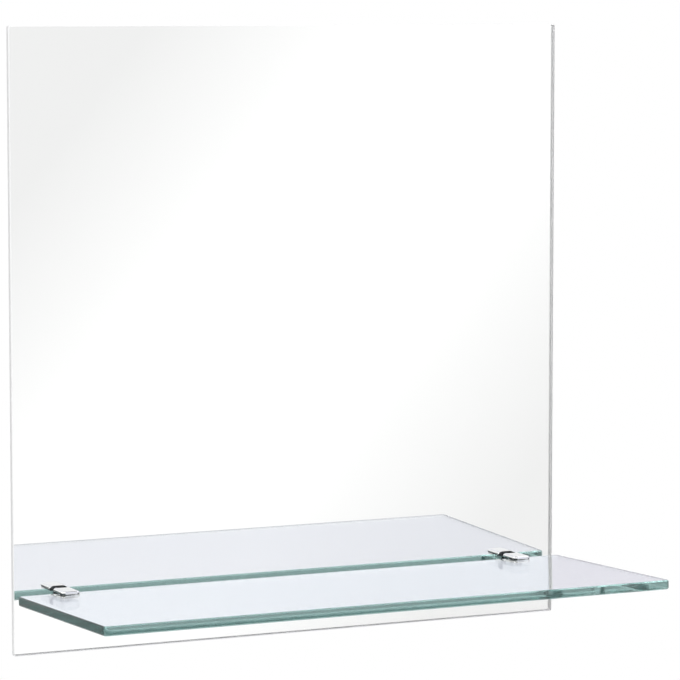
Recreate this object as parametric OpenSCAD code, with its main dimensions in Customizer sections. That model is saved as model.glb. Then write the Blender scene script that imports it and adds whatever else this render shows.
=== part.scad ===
// Frameless wall mirror with a clear glass shelf held in two clamps.
// Frame: X to the right, Y into the wall, Z up. The wall is the plane y = 0, and
// the origin lies midway between the entry holes of the two hanger keyholes.

/* [Mirror] */
// Width of the mirror pane
mirror_w = 390; // [340:5:600]
// Height of the mirror pane
mirror_h = 400; // [330:5:800]
// Thickness of the mirror glass
mirror_t = 4; // [3:0.5:6]
// Width of the ground arris round both faces of the pane
mirror_arris = 0.5; // [0.3:0.1:1.2]
// Corner radius of the pane
mirror_corner_r = 1.5; // [1.3:0.1:10]
// Thickness of the silver layer
silver_t = 0.05; // [0.03:0.01:0.1]
// Thickness of the protective paint behind the silver
paint_t = 0.15; // [0.1:0.05:0.3]

/* [Shelf] */
// Width of the shelf
shelf_w = 390; // [340:1:600]
// Depth of the shelf, back edge to front edge
shelf_d = 150; // [90:5:220]
// Thickness of the shelf glass
shelf_t = 6; // [4:0.5:10]
// Width of the ground arris along the shelf's edges
shelf_arris = 0.8; // [0.3:0.1:1.5]
// Corner radius of the shelf
shelf_corner_r = 3; // [2:0.5:10]
// Height of the shelf's upper face above the mirror's lower edge, at the shelf's back edge
shelf_height = 40; // [30:1:80]
// Rise of the shelf towards its front edge, in degrees
shelf_tilt = 2; // [0:0.5:4]

/* [Clamps] */
// Distance between the two clamps, centre to centre
clamp_spacing = 325; // [200:1:325]
// Width of a clamp
clamp_w = 12.5; // [10.5:0.5:20]
// How far the jaws reach over the shelf's back edge
grip_depth = 11; // [10:0.5:20]
// Thickness of the web behind the shelf
web_t = 5.7; // [4.7:0.1:8]
// Metal left between the fixing hole and the web's front face
web_skin = 1.1; // [0.6:0.1:1.5]
// Width of the web, where it stands between the jaws as a neck
neck_w = 7; // [6.5:0.5:9]
// Rounding between the neck and the jaws
neck_r = 1.2; // [0.5:0.1:1.5]
// Thickness of the upper jaw at its tip, above the pad
upper_jaw_t = 1.3; // [1:0.1:3]
// Thickness of the lower jaw where it leaves the web
lower_jaw_t = 5; // [4:0.5:8]
// Rounding of the clamp's short edges, in front and at the mirror
clamp_edge_r = 0.6; // [0.3:0.1:0.6]
// Rounding of the clamp's long upper and lower edges
clamp_side_r = 1.8; // [1.2:0.1:2]
// Rounding of the clamp's upright edges in front
clamp_front_r = 2.5; // [1.5:0.1:3]
// Rounding of the clamp's upright edges at the mirror
clamp_back_r = 0.3; // [0.2:0.1:0.6]
// Rounding under the tip of the lower jaw
clamp_chin_r = 3; // [1:0.5:4]
// Thickness of the pad under the upper jaw
pad_t = 0.8; // [0.6:0.1:1.5]
// How far the pad stands out below the lip in front of it
pad_proud = 0.3; // [0.1:0.1:0.6]
// Metal in front of the pad, the jaw's lip
pad_lip = 1.5; // [1:0.5:3]
// Corner radius of the pad
pad_corner_r = 0.5; // [0.2:0.1:1]
// Thickness of the rubber gasket between clamp and mirror
gasket_t = 0.8; // [0.5:0.1:1.5]
// How far the pad stays inside the upper jaw's outline
pad_inset = 0.2; // [0.1:0.1:0.8]
// How far gasket and foam tapes stay inside the outline of what they carry
soft_inset = 0.5; // [0.3:0.1:1]

/* [Clamp screws] */
// Thread diameter of the clamp screw
clamp_screw_d = 4; // [3:0.5:5]
// Thread pitch of the clamp screw
clamp_screw_pitch = 0.7; // [0.5:0.05:0.8]
// Length of the clamp screw, without its tip
clamp_screw_l = 8; // [7:0.5:10]
// Width across flats of the clamp screw's hex socket
hex_socket_w = 2; // [1.5:0.5:2.5]
// Depth of the hex socket
hex_socket_depth = 2.2; // [1:0.1:3]
// Diameter of the screw's dog tip
dog_tip_d = 2.5; // [1.5:0.1:2.6]
// Diameter of the pressure foot
foot_d = 8; // [6:0.5:8.5]
// Thickness of the pressure foot
foot_t = 1.5; // [1.2:0.1:3]
// Depth of the seat for the dog tip in the pressure foot
foot_seat_depth = 0.8; // [0.5:0.1:1]
// Turns of the clamp screw from tight to fully released
release_turns = 3; // [1:1:4]

/* [Fixing of the clamps to the mirror] */
// Diameter of the two holes through the mirror
mirror_hole_d = 6.5; // [6:0.5:7]
// Thread diameter of the fixing screw
fixing_screw_d = 4; // [3:0.5:4]
// Length of the fixing screw under its head
fixing_screw_l = 10; // [9.5:0.5:11]
// Head diameter of the fixing screw
screw_head_d = 8; // [6:0.5:9]
// Head height of the fixing screw
screw_head_h = 2.4; // [1.5:0.1:3]
// Diameter of the bush's flange behind the mirror
bush_flange_d = 14; // [11:0.5:18]
// Thickness of the bush's flange
bush_flange_t = 1; // [0.6:0.1:1.5]
// Diameter of the steel washer
washer_d = 9; // [8:0.5:11]
// Thickness of the steel washer
washer_t = 0.8; // [0.5:0.1:1]

/* [Hangers] */
// Distance between the two keyholes
hanger_spacing = 240; // [120:5:260]
// Height of the keyholes above the mirror's lower edge
hanger_height = 340; // [240:5:700]
// Width of a hanger plate over its flanges
hanger_w = 70; // [60:1:90]
// Height of a hanger plate
hanger_h = 50; // [40:1:80]
// How far a hanger plate reaches below its keyhole
hanger_foot = 20; // [10:1:20]
// Corner radius of a hanger plate's flanges
hanger_corner_r = 4; // [1:0.5:6]
// Width of the raised bridge
bridge_w = 40; // [32:1:50]
// Sheet thickness of a hanger plate
hanger_t = 1.5; // [1:0.1:2]
// Inside radius of the bends in the sheet
bend_r = 1; // [0.5:0.1:1.2]
// Room for a wall screw's head between bridge and mirror
head_room = 6; // [5:0.5:9]
// Thickness of the adhesive foam tape under the flanges
tape_t = 1; // [0.5:0.1:1.2]
// Diameter of the keyhole's entry hole
keyhole_d = 10; // [8:0.5:12]
// Width of the keyhole's slot
keyhole_slot_w = 5; // [4.5:0.5:6]
// Height of the slot's closed end above the entry hole's centre
keyhole_rise = 12; // [9:0.5:15]

/* [Wall spacers] */
// Diameter of a rubber spacer
spacer_d = 18; // [10:1:30]
// Distance between the two spacers
spacer_spacing = 220; // [120:5:280]
// Height of the spacers above the mirror's lower edge
spacer_height = 25; // [18:1:60]
// Rounding of a spacer's face at the wall
spacer_edge_r = 1.2; // [0.5:0.1:2]
// Thickness of the adhesive disc under a spacer
spacer_tape_t = 0.5; // [0.3:0.1:1]

/* [Clearances] */
// Gap between the shelf and the pads that close on it
glass_clearance = 0.05; // [0.05:0.01:0.2]
// Gap between the shelf's back edge and the web
edge_clearance = 0.5; // [0.3:0.1:1]
// Radial gap between a screw and its threaded hole, and round the dog tip
thread_clearance = 0.05; // [0.02:0.01:0.1]
// Radial gap round a screw in a plain hole
plain_clearance = 0.2; // [0.1:0.05:0.4]
// Gap between the lower jaw and the fully released pressure foot
foot_clearance = 0.2; // [0.1:0.05:0.5]

/* [Hidden] */
$fn = 64;
SMALL_FN = 32;
SLACK = 1; // how far a cutting tool runs past the face that it cuts
LEFT = -1;
RIGHT = 1;

// Planes of the mirror, as distances in front of the wall
mirror_back = hanger_t + head_room;
silver_back = mirror_back + paint_t;
glass_back = silver_back + silver_t;
mirror_front = glass_back + mirror_t;
// Heights
mirror_bottom = -hanger_height;
shelf_z = mirror_bottom + shelf_height;
// Shelf and clamp, forward of the mirror's face
shelf_gap = gasket_t + web_t + edge_clearance;
clamp_reach = shelf_gap + grip_depth;
// Clamp heights, from the shelf's upper back edge
foot_travel = release_turns * clamp_screw_pitch;
jaw_top = grip_depth * sin(shelf_tilt) + glass_clearance + pad_t + upper_jaw_t;
foot_bottom = -(shelf_t + glass_clearance + foot_t);
slot_floor = foot_bottom - foot_travel - foot_clearance;
slot_roof = glass_clearance + pad_t;
lip_bottom = glass_clearance + pad_proud;
jaw_bottom = slot_floor - lower_jaw_t;
clamp_h = jaw_top - jaw_bottom;
fixing_h = (jaw_top + jaw_bottom) / 2;
// Clamp screw, in the shelf's own plane
screw_axis_y = -grip_depth / 2;
screw_top = foot_bottom - thread_clearance;
dog_tip_l = foot_seat_depth - thread_clearance;
// Fixing screw, blind hole in the web
fixing_hole_depth = web_t - web_skin;
// Hanger sheet, from the wall forwards
flange_front = mirror_back - tape_t;
bend_out_r = bend_r + hanger_t;

// ---- Helpers ----

// Extrudes a profile drawn in (Y, Z) across X.
module across(width) {
    rotate([90, 0, 90]) linear_extrude(width, center = true) children();
}

// Extrudes a profile drawn in (X, Z) forwards from y = 0.
module forwards(depth) {
    rotate([90, 0, 0]) linear_extrude(depth) children();
}

// A cylinder that runs forwards from y = 0.
module pin_forwards(d, l) {
    rotate([90, 0, 0]) cylinder(d = d, h = l);
}

// A rectangle from its low corner to its high corner, with round corners.
module soft_rect(low, high, r) {
    size = high - low;
    translate(low + [r, 0]) square(size - [2 * r, 0]);
    translate(low + [0, r]) square(size - [0, 2 * r]);
    for (x = [low.x + r, high.x - r], y = [low.y + r, high.y - r])
        translate([x, y]) circle(r, $fn = SMALL_FN);
}

// Quarter of a ring in the quadrant of +X and +Y.
module quarter_ring(r_in, r_out) {
    intersection() {
        difference() {
            circle(r_out, $fn = SMALL_FN);
            circle(r_in, $fn = SMALL_FN);
        }
        square(r_out);
    }
}

// Cross-section of a plate with a ground arris on its four edges, upper face at 0.
module arris_section(w, t, a) {
    polygon([
        [-w / 2 + a, 0], [w / 2 - a, 0], [w / 2, -a], [w / 2, a - t],
        [w / 2 - a, -t], [a - w / 2, -t], [-w / 2, a - t], [-w / 2, -a]
    ]);
}

// A glass plate with round corners and ground arrises, upper face at z = 0.
module arris_plate(w, d, t, r, a) {
    rotate([90, 0, 0]) linear_extrude(d - 2 * r, center = true) arris_section(w, t, a);
    across(w - 2 * r) arris_section(d, t, a);
    for (x = [r - w / 2, w / 2 - r], y = [r - d / 2, d / 2 - r])
        translate([x, y, 0]) rotate_extrude()
            polygon([[0, 0], [r - a, 0], [r, -a], [r, a - t], [r - a, -t], [0, -t]]);
}

// ---- Places ----

// The centre of the mirror, at a distance in front of the wall.
module at_mirror(distance) {
    translate([0, -distance, mirror_bottom + mirror_h / 2]) children();
}

// The mirror's face at the level of the shelf's upper back edge, behind one clamp.
module at_clamp(side) {
    translate([side * clamp_spacing / 2, -mirror_front, shelf_z]) children();
}

// The plane of the shelf's upper face, from its back edge, at the middle of the mirror.
module in_shelf_plane() {
    translate([0, -mirror_front - shelf_gap, shelf_z]) rotate([-shelf_tilt, 0, 0]) children();
}

// The same plane, above one clamp screw.
module at_clamp_screw(side) {
    in_shelf_plane() translate([side * clamp_spacing / 2, screw_axis_y, 0]) children();
}

// The axis of one fixing screw, at a distance in front of the wall.
module at_fixing(side, distance) {
    translate([side * clamp_spacing / 2, -distance, shelf_z + fixing_h]) children();
}

// The keyhole's entry hole, on the wall.
module at_hanger(side) {
    translate([side * hanger_spacing / 2, 0, 0]) children();
}

// One spacer's centre, on the wall.
module at_spacer(side) {
    translate([side * spacer_spacing / 2, 0, mirror_bottom + spacer_height]) children();
}

// ---- Mirror ----

module clamp_holes() {
    for (side = [LEFT, RIGHT])
        at_fixing(side, mirror_back - SLACK)
            pin_forwards(mirror_hole_d, mirror_front - mirror_back + 2 * SLACK);
}

module mirror_glass() {
    color([0.85, 0.93, 0.91, 0.5]) difference() {
        at_mirror(mirror_front) rotate([90, 0, 0])
            arris_plate(mirror_w, mirror_h, mirror_t, mirror_corner_r, mirror_arris);
        clamp_holes();
    }
}

// A layer on the pane's flat back face, which ends where the arris starts.
module back_layer(rear, thickness) {
    corner = [mirror_w / 2 - mirror_arris, mirror_h / 2 - mirror_arris];
    difference() {
        at_mirror(rear) forwards(thickness)
            soft_rect(-corner, corner, mirror_corner_r - mirror_arris);
        clamp_holes();
    }
}

module mirror_silvering() {
    color([0.93, 0.94, 0.95]) back_layer(silver_back, silver_t);
}

module backing_paint() {
    color([0.36, 0.38, 0.4]) back_layer(mirror_back, paint_t);
}

// ---- Shelf ----

module shelf_glass() {
    color([0.72, 0.87, 0.84, 0.5]) in_shelf_plane() translate([0, -shelf_d / 2, 0])
        arris_plate(shelf_w, shelf_d, shelf_t, shelf_corner_r, shelf_arris);
}

// ---- Clamps ----

// Seen from the side: outer shape of the clamp, with a rounded chin.
module clamp_side_outline() {
    middle = (jaw_top + jaw_bottom) / 2;
    soft_rect([-clamp_reach, middle - clamp_edge_r], [-gasket_t, jaw_top], clamp_edge_r);
    soft_rect([-clamp_reach, jaw_bottom], [-gasket_t, middle + clamp_chin_r], clamp_chin_r);
    translate([-clamp_reach / 2, jaw_bottom])
        square([clamp_reach / 2 - gasket_t, middle - jaw_bottom]);
}

// Seen from above: soft corners in front, tight ones at the mirror.
module clamp_plan_outline() {
    half = clamp_w / 2;
    soft_rect([-half, -clamp_reach], [half, -clamp_reach / 2], clamp_front_r);
    soft_rect([-half, clamp_front_r - clamp_reach], [half, -gasket_t], clamp_back_r);
}

// Seen from the front.
module clamp_front_outline() {
    soft_rect([-clamp_w / 2, jaw_bottom], [clamp_w / 2, jaw_top], clamp_side_r);
}

// Room on both sides of the neck, level with the slot for the shelf.
module neck_room(side, roof) {
    in_shelf_plane() translate([side * clamp_spacing / 2, 2 * clamp_reach, 0])
        forwards(4 * clamp_reach) for (end = [0, 1]) mirror([end, 0])
            soft_rect([neck_w / 2, slot_floor], [clamp_w, roof], neck_r);
}

module clamp_body(side) {
    color([0.86, 0.87, 0.89]) difference() {
        at_clamp(side) intersection() {
            across(clamp_w) clamp_side_outline();
            translate([0, 0, jaw_bottom]) linear_extrude(clamp_h) clamp_plan_outline();
            forwards(clamp_reach) clamp_front_outline();
        }
        // Slot for the shelf, its pad and the pressure foot, parallel to the shelf
        in_shelf_plane() translate([side * clamp_spacing / 2, 0, 0]) across(clamp_w + 2 * SLACK) {
            translate([-2 * clamp_reach, slot_floor])
                square([2 * clamp_reach + edge_clearance, lip_bottom - slot_floor]);
            translate([pad_lip - grip_depth, slot_floor])
                square([grip_depth - pad_lip + edge_clearance, slot_roof - slot_floor]);
        }
        neck_room(side, slot_roof);
        // Threaded hole for the clamp screw
        at_clamp_screw(side) translate([0, 0, jaw_bottom - 2 * SLACK])
            cylinder(r = clamp_screw_d / 2 + thread_clearance, h = lower_jaw_t + 4 * SLACK);
        // Blind threaded hole for the fixing screw
        at_fixing(side, mirror_front + gasket_t - SLACK)
            pin_forwards(fixing_screw_d + 2 * thread_clearance, fixing_hole_depth + SLACK);
    }
}

// Pad under the upper jaw, which reaches past both sides of the neck.
module clamp_pad(side) {
    corner = [clamp_w / 2 - pad_inset, shelf_gap - gasket_t - pad_inset];
    opening = neck_w / 2 + neck_r;
    color([0.12, 0.12, 0.13]) in_shelf_plane()
        translate([side * clamp_spacing / 2, 0, glass_clearance]) linear_extrude(pad_t) difference() {
            soft_rect([-corner.x, pad_lip - grip_depth], corner, pad_corner_r);
            translate([-opening, edge_clearance]) square([2 * opening, shelf_gap]);
        }
}

module clamp_gasket(side) {
    half = clamp_w / 2 - soft_inset;
    color([0.09, 0.09, 0.1]) difference() {
        at_clamp(side) forwards(gasket_t)
            soft_rect([-half, jaw_bottom + soft_inset], [half, jaw_top - soft_inset],
                      clamp_side_r - soft_inset);
        neck_room(side, glass_clearance);
        at_fixing(side, mirror_front - SLACK)
            pin_forwards(fixing_screw_d + 2 * plain_clearance, gasket_t + 2 * SLACK);
    }
}

module pressure_foot(side) {
    color([0.94, 0.94, 0.92]) at_clamp_screw(side) translate([0, 0, foot_bottom]) difference() {
        cylinder(d = foot_d, h = foot_t);
        translate([0, 0, -SLACK])
            cylinder(r = dog_tip_d / 2 + thread_clearance, h = foot_seat_depth + SLACK);
    }
}

module clamp_screw(side) {
    socket_r = hex_socket_w / 2 / cos(30);
    color([0.7, 0.71, 0.73]) at_clamp_screw(side) translate([0, 0, screw_top]) difference() {
        union() {
            translate([0, 0, -clamp_screw_l]) cylinder(d = clamp_screw_d, h = clamp_screw_l);
            cylinder(d = dog_tip_d, h = dog_tip_l);
        }
        translate([0, 0, -clamp_screw_l - SLACK])
            cylinder(r = socket_r, h = hex_socket_depth + SLACK, $fn = 6);
    }
}

// ---- Fixing of the clamps, from behind the mirror ----

module mirror_bush(side) {
    color([0.95, 0.95, 0.93]) difference() {
        union() {
            at_fixing(side, mirror_back - bush_flange_t) pin_forwards(bush_flange_d, bush_flange_t);
            at_fixing(side, mirror_back)
                pin_forwards(mirror_hole_d - 2 * plain_clearance,
                             mirror_front - mirror_back - plain_clearance);
        }
        at_fixing(side, mirror_back - bush_flange_t - SLACK)
            pin_forwards(fixing_screw_d + 2 * plain_clearance, mirror_front + 2 * SLACK);
    }
}

module fixing_washer(side) {
    color([0.74, 0.75, 0.77]) at_fixing(side, mirror_back - bush_flange_t - washer_t) difference() {
        pin_forwards(washer_d, washer_t);
        translate([0, SLACK, 0]) pin_forwards(fixing_screw_d + 2 * plain_clearance, washer_t + 2 * SLACK);
    }
}

module fixing_screw(side) {
    crown_r = screw_head_d; // radius of the head's crown
    recess = [screw_head_d / 2, screw_head_h * 1.1, fixing_screw_d / 4];
    color([0.78, 0.78, 0.76]) at_fixing(side, mirror_back - bush_flange_t - washer_t) {
        pin_forwards(fixing_screw_d, fixing_screw_l);
        difference() {
            intersection() {
                rotate([-90, 0, 0]) cylinder(d = screw_head_d, h = screw_head_h);
                translate([0, screw_head_h - crown_r, 0]) sphere(crown_r);
            }
            for (turn = [0, 90])
                translate([0, screw_head_h, 0]) rotate([0, turn, 0]) cube(recess, center = true);
        }
    }
}

// ---- Hangers ----

// Half of the bent sheet, seen from above: bridge, riser and flange towards +X.
module hanger_half_section() {
    side_x = bridge_w / 2;
    bridge_end = side_x - bend_out_r;
    flange_start = side_x + bend_r;
    riser_end = flange_front - bend_out_r;
    translate([0, -hanger_t]) square([bridge_end, hanger_t]);
    translate([bridge_end, -bend_out_r]) quarter_ring(bend_r, bend_out_r);
    translate([side_x - hanger_t, -riser_end]) square([hanger_t, riser_end - bend_out_r]);
    translate([flange_start, -riser_end]) rotate(180) quarter_ring(bend_r, bend_out_r);
    translate([flange_start, -flange_front]) square([hanger_w / 2 - flange_start, hanger_t]);
}

module hanger_outline(inset) {
    soft_rect([inset - hanger_w / 2, inset - hanger_foot],
              [hanger_w / 2 - inset, hanger_h - hanger_foot - inset], hanger_corner_r);
}

module keyhole() {
    translate([0, SLACK, 0]) {
        pin_forwards(keyhole_d, hanger_t + 2 * SLACK);
        translate([0, 0, keyhole_rise]) pin_forwards(keyhole_slot_w, hanger_t + 2 * SLACK);
        forwards(hanger_t + 2 * SLACK)
            translate([-keyhole_slot_w / 2, 0]) square([keyhole_slot_w, keyhole_rise]);
    }
}

module hanger_plate(side) {
    color([0.72, 0.73, 0.74]) at_hanger(side) difference() {
        intersection() {
            translate([0, 0, -hanger_foot]) linear_extrude(hanger_h) {
                hanger_half_section();
                mirror([1, 0]) hanger_half_section();
            }
            translate([0, SLACK, 0]) forwards(mirror_back + SLACK) hanger_outline(0);
        }
        keyhole();
    }
}

module hanger_tape(side) {
    inner = bridge_w / 2 + bend_r;
    color([0.93, 0.93, 0.9]) at_hanger(side) for (end = [0, 1]) mirror([end, 0, 0])
        translate([0, -flange_front, 0]) forwards(tape_t) intersection() {
            hanger_outline(soft_inset);
            translate([inner, -hanger_foot]) square([hanger_w, hanger_h]);
        }
}

// ---- Wall spacers ----

module wall_spacer(side) {
    height = mirror_back - spacer_tape_t;
    color([0.2, 0.2, 0.21]) at_spacer(side) rotate([90, 0, 0]) rotate_extrude() {
        square([spacer_d / 2 - spacer_edge_r, height]);
        translate([0, spacer_edge_r]) square([spacer_d / 2, height - spacer_edge_r]);
        translate([spacer_d / 2 - spacer_edge_r, spacer_edge_r]) circle(spacer_edge_r);
    }
}

module spacer_tape(side) {
    color([0.92, 0.92, 0.89]) at_spacer(side) translate([0, spacer_tape_t - mirror_back, 0])
        pin_forwards(spacer_d - 2 * soft_inset, spacer_tape_t);
}

mirror_glass();
mirror_silvering();
backing_paint();
shelf_glass();
clamp_body(LEFT);  // clamp_body_left
clamp_body(RIGHT);  // clamp_body_right
clamp_pad(LEFT);  // clamp_pad_left
clamp_pad(RIGHT);  // clamp_pad_right
pressure_foot(LEFT);  // pressure_foot_left
pressure_foot(RIGHT);  // pressure_foot_right
clamp_screw(LEFT);  // clamp_screw_left
clamp_screw(RIGHT);  // clamp_screw_right
clamp_gasket(LEFT);  // clamp_gasket_left
clamp_gasket(RIGHT);  // clamp_gasket_right
mirror_bush(LEFT);  // mirror_bush_left
mirror_bush(RIGHT);  // mirror_bush_right
fixing_washer(LEFT);  // fixing_washer_left
fixing_washer(RIGHT);  // fixing_washer_right
fixing_screw(LEFT);  // fixing_screw_left
fixing_screw(RIGHT);  // fixing_screw_right
hanger_plate(LEFT);  // hanger_plate_left
hanger_plate(RIGHT);  // hanger_plate_right
hanger_tape(LEFT);  // hanger_tape_left
hanger_tape(RIGHT);  // hanger_tape_right
wall_spacer(LEFT);  // wall_spacer_left
wall_spacer(RIGHT);  // wall_spacer_right
spacer_tape(LEFT);  // spacer_tape_left
spacer_tape(RIGHT);  // spacer_tape_right
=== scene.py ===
"""Looks of a frameless wall mirror with a clear glass shelf held in two chromed clamps.

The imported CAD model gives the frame, in metres: X to the right, Y into the wall, Z up, with the
wall at y = 0 and the origin midway between the two hanger keyholes. Each detailed piece is
modelled at its own place, stands for one CAD node and rides on that node's body.
"""

import logging
import math
from collections.abc import Callable, Sequence
from dataclasses import dataclass, field
from enum import Enum

import bmesh
import bpy
from mathutils import Matrix, Vector


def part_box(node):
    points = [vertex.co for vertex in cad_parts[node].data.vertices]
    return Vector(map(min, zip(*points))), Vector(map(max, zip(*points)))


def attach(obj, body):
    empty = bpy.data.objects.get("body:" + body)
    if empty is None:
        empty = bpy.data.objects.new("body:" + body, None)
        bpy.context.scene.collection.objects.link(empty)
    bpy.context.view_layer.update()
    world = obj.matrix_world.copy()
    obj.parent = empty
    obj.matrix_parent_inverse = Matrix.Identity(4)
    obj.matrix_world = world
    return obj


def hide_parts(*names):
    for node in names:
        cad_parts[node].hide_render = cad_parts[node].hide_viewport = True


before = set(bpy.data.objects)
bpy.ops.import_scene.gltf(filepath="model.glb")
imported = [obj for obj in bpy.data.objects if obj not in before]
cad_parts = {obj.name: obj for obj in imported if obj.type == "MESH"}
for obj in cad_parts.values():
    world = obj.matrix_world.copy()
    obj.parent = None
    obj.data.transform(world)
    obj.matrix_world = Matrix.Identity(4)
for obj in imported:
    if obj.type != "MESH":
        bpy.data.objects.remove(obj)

log = logging.getLogger("mirror_with_shelf")

Triple = tuple[float, float, float]
Span = tuple[float, float]  # the two ends of a range
Colour = Triple  # linear red, green and blue
Shade = tuple[float, float, float, float]  # a colour and its alpha
Piece = bpy.types.Object
Material = bpy.types.Material
Tree = bpy.types.NodeTree
Node = bpy.types.Node
Socket = bpy.types.NodeSocket
Edge = bmesh.types.BMEdge
Face = bmesh.types.BMFace
EdgeTest = Callable[[Edge], bool]
FaceTest = Callable[[Face], bool]

MM = 0.001
PAST = 1 * MM  # how far a cutter reaches past the surface that it enters
STRAIGHT = 0.999  # least share of its length that an edge along an axis runs on it
LEVEL = 0.9  # least share of Z in the normal of a level face
WHITE: Shade = (1.0, 1.0, 1.0, 1.0)
WHOLE: Span = (0.0, 1.0)


class Side(Enum):
    """The two sides of the mirror, as its user sees them."""

    LEFT = -1
    RIGHT = 1

    @property
    def word(self) -> str:
        """The side as it ends a node's name."""
        return self.name.lower()

    def fine(self, node: str) -> str:
        """Name of the piece that stands for one of this side's nodes."""
        return f"fine_{node}_{self.word}"


class Body(Enum):
    """The CAD bodies that pieces ride on, apart from the feet and screws of one side."""

    MIRROR = "mirror"
    SHELF = "shelf"


class Slot(Enum):
    """Material slots, apart from that of the CAD node that stays."""

    MIRROR_GLASS = "mirror_glass"
    SILVER = "silver"
    SHELF_GLASS = "shelf_glass"
    CLAMP_CHROME = "clamp_chrome"
    BLACK_RUBBER = "black_rubber"
    WHITE_NYLON = "white_nylon"
    SCREW_STEEL = "screw_steel"
    ZINC_STEEL = "zinc_steel"
    HANGER_STEEL = "hanger_steel"
    FOAM_TAPE = "foam_tape"
    SPACER_RUBBER = "spacer_rubber"


class Axis(Enum):
    """The axes, as indices of a vector."""

    X = 0
    Y = 1
    Z = 2


class Element(Enum):
    """What edit mode selects."""

    VERTEX = "VERT"
    EDGE = "EDGE"
    FACE = "FACE"


def middle_of(node: str) -> Triple:
    """The middle of a CAD node's box."""
    return tuple((low + high) / 2 for low, high in zip(*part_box(node)))


# ---- Bench: modelling by operator ----


def pick(piece: Piece) -> None:
    """Makes a piece the only selected object, and the active one.

    Args:
        piece: The piece.
    """
    bpy.ops.object.select_all(action="DESELECT")
    piece.select_set(True)
    bpy.context.view_layer.objects.active = piece


def settle(piece: Piece, place: Matrix | None = None) -> Piece:
    """Moves a piece to its place and puts that place into its mesh.

    Args:
        piece: The piece, with its object anywhere.
        place: Where its local frame goes, or None to leave it where it is.

    Returns:
        The same piece, with its object at the origin.
    """
    if place is not None:
        piece.matrix_world = place @ piece.matrix_world
    pick(piece)
    bpy.ops.object.transform_apply(location=True, rotation=True, scale=True)
    return piece


def add(name: str, primitive: Callable[..., object], **settings: object) -> Piece:
    """Adds a primitive at its size and place.

    Args:
        name: Name of the new piece.
        primitive: The operator that adds it.
        **settings: The operator's own settings.

    Returns:
        The piece, with its object at the origin.
    """
    bpy.ops.object.select_all(action="DESELECT")
    primitive(**settings)
    piece = bpy.context.active_object
    piece.name = piece.data.name = name
    return settle(piece)


def add_block(name: str, low: Sequence[float], high: Sequence[float]) -> Piece:
    """Adds a block between two corners.

    Args:
        name: Name of the new piece.
        low: Its lowest corner.
        high: Its highest corner.

    Returns:
        The block.
    """
    start, end = Vector(low), Vector(high)
    cube = bpy.ops.mesh.primitive_cube_add
    return add(name, cube, size=1.0, location=(start + end) / 2, scale=end - start)


def add_rod(name: str, radius: float, low: float, high: float, sides: int = 64) -> Piece:
    """Adds a round rod along Z.

    Args:
        name: Name of the new piece.
        radius: Its radius.
        low: Height of its lower end.
        high: Height of its upper end.
        sides: Faces round it.

    Returns:
        The rod.
    """
    cylinder = bpy.ops.mesh.primitive_cylinder_add
    middle = (0, 0, (low + high) / 2)
    return add(name, cylinder, vertices=sides, radius=radius, depth=high - low, location=middle)


def to_front(place: Sequence[float]) -> Matrix:
    """A local frame with its origin at a place and its Z axis pointing out of the wall."""
    return Matrix.Translation(place) @ Matrix.Rotation(math.radians(90), 4, "X")


def to_wall(place: Sequence[float]) -> Matrix:
    """A local frame with its origin at a place and its Z axis pointing into the wall."""
    return Matrix.Translation(place) @ Matrix.Rotation(math.radians(-90), 4, "X")


class EditMode:
    """Edit mode on one piece, with elements chosen by a test on their shape."""

    def __init__(self, piece: Piece, kind: Element = Element.EDGE) -> None:
        """Notes the piece and the kind of element that is chosen."""
        self.piece = piece
        self.kind = kind

    def __enter__(self) -> "EditMode":
        """Enters edit mode with nothing selected.

        Returns:
            Itself, ready to choose elements.
        """
        pick(self.piece)
        bpy.ops.object.mode_set(mode="EDIT")
        bpy.ops.mesh.select_mode(type=self.kind.value)
        bpy.ops.mesh.select_all(action="DESELECT")
        return self

    def __exit__(self, *_: object) -> None:
        """Goes back to object mode."""
        bpy.ops.object.mode_set(mode="OBJECT")

    def choose(self, test: Callable[..., bool]) -> int:
        """Selects the elements that pass a test, and nothing else.

        Args:
            test: Says whether an edge, face or vertex is chosen.

        Returns:
            How many were chosen.
        """
        bpy.ops.mesh.select_all(action="DESELECT")
        mesh = bmesh.from_edit_mesh(self.piece.data)
        sets = {Element.VERTEX: mesh.verts, Element.EDGE: mesh.edges, Element.FACE: mesh.faces}
        mesh.normal_update()
        chosen = [element for element in sets[self.kind] if test(element)]
        for element in chosen:
            element.select_set(True)
        mesh.select_flush_mode()
        bmesh.update_edit_mesh(self.piece.data)
        return len(chosen)


def near(a: float, b: float, slack: float = 1e-6) -> bool:
    """Says whether two lengths agree to a micrometre, or to the given slack."""
    return abs(a - b) < slack


def along(axis: Axis) -> EdgeTest:
    """A test for edges that run along an axis.

    Args:
        axis: The axis.

    Returns:
        The test.
    """

    def test(edge: Edge) -> bool:
        """Says whether an edge runs that way."""
        run = edge.verts[1].co - edge.verts[0].co
        return abs(run[axis.value]) > STRAIGHT * run.length

    return test


def at(axis: Axis, *values: float) -> EdgeTest:
    """A test for edges with both ends on one of some planes across an axis.

    Args:
        axis: The axis.
        *values: Where the planes cross it.

    Returns:
        The test.
    """

    def test(edge: Edge) -> bool:
        """Says whether an edge lies in one of the planes."""
        start, end = (vert.co[axis.value] for vert in edge.verts)
        return any(near(start, value) and near(end, value) for value in values)

    return test


def each(*tests: EdgeTest) -> EdgeTest:
    """A test for edges that pass each of some tests."""
    return lambda edge: all(test(edge) for test in tests)


def faces_up(face: Face) -> bool:
    """Says whether a face is level and faces up."""
    return face.normal.z > LEVEL


def faces_down(face: Face) -> bool:
    """Says whether a face is level and faces down."""
    return face.normal.z < -LEVEL


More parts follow.
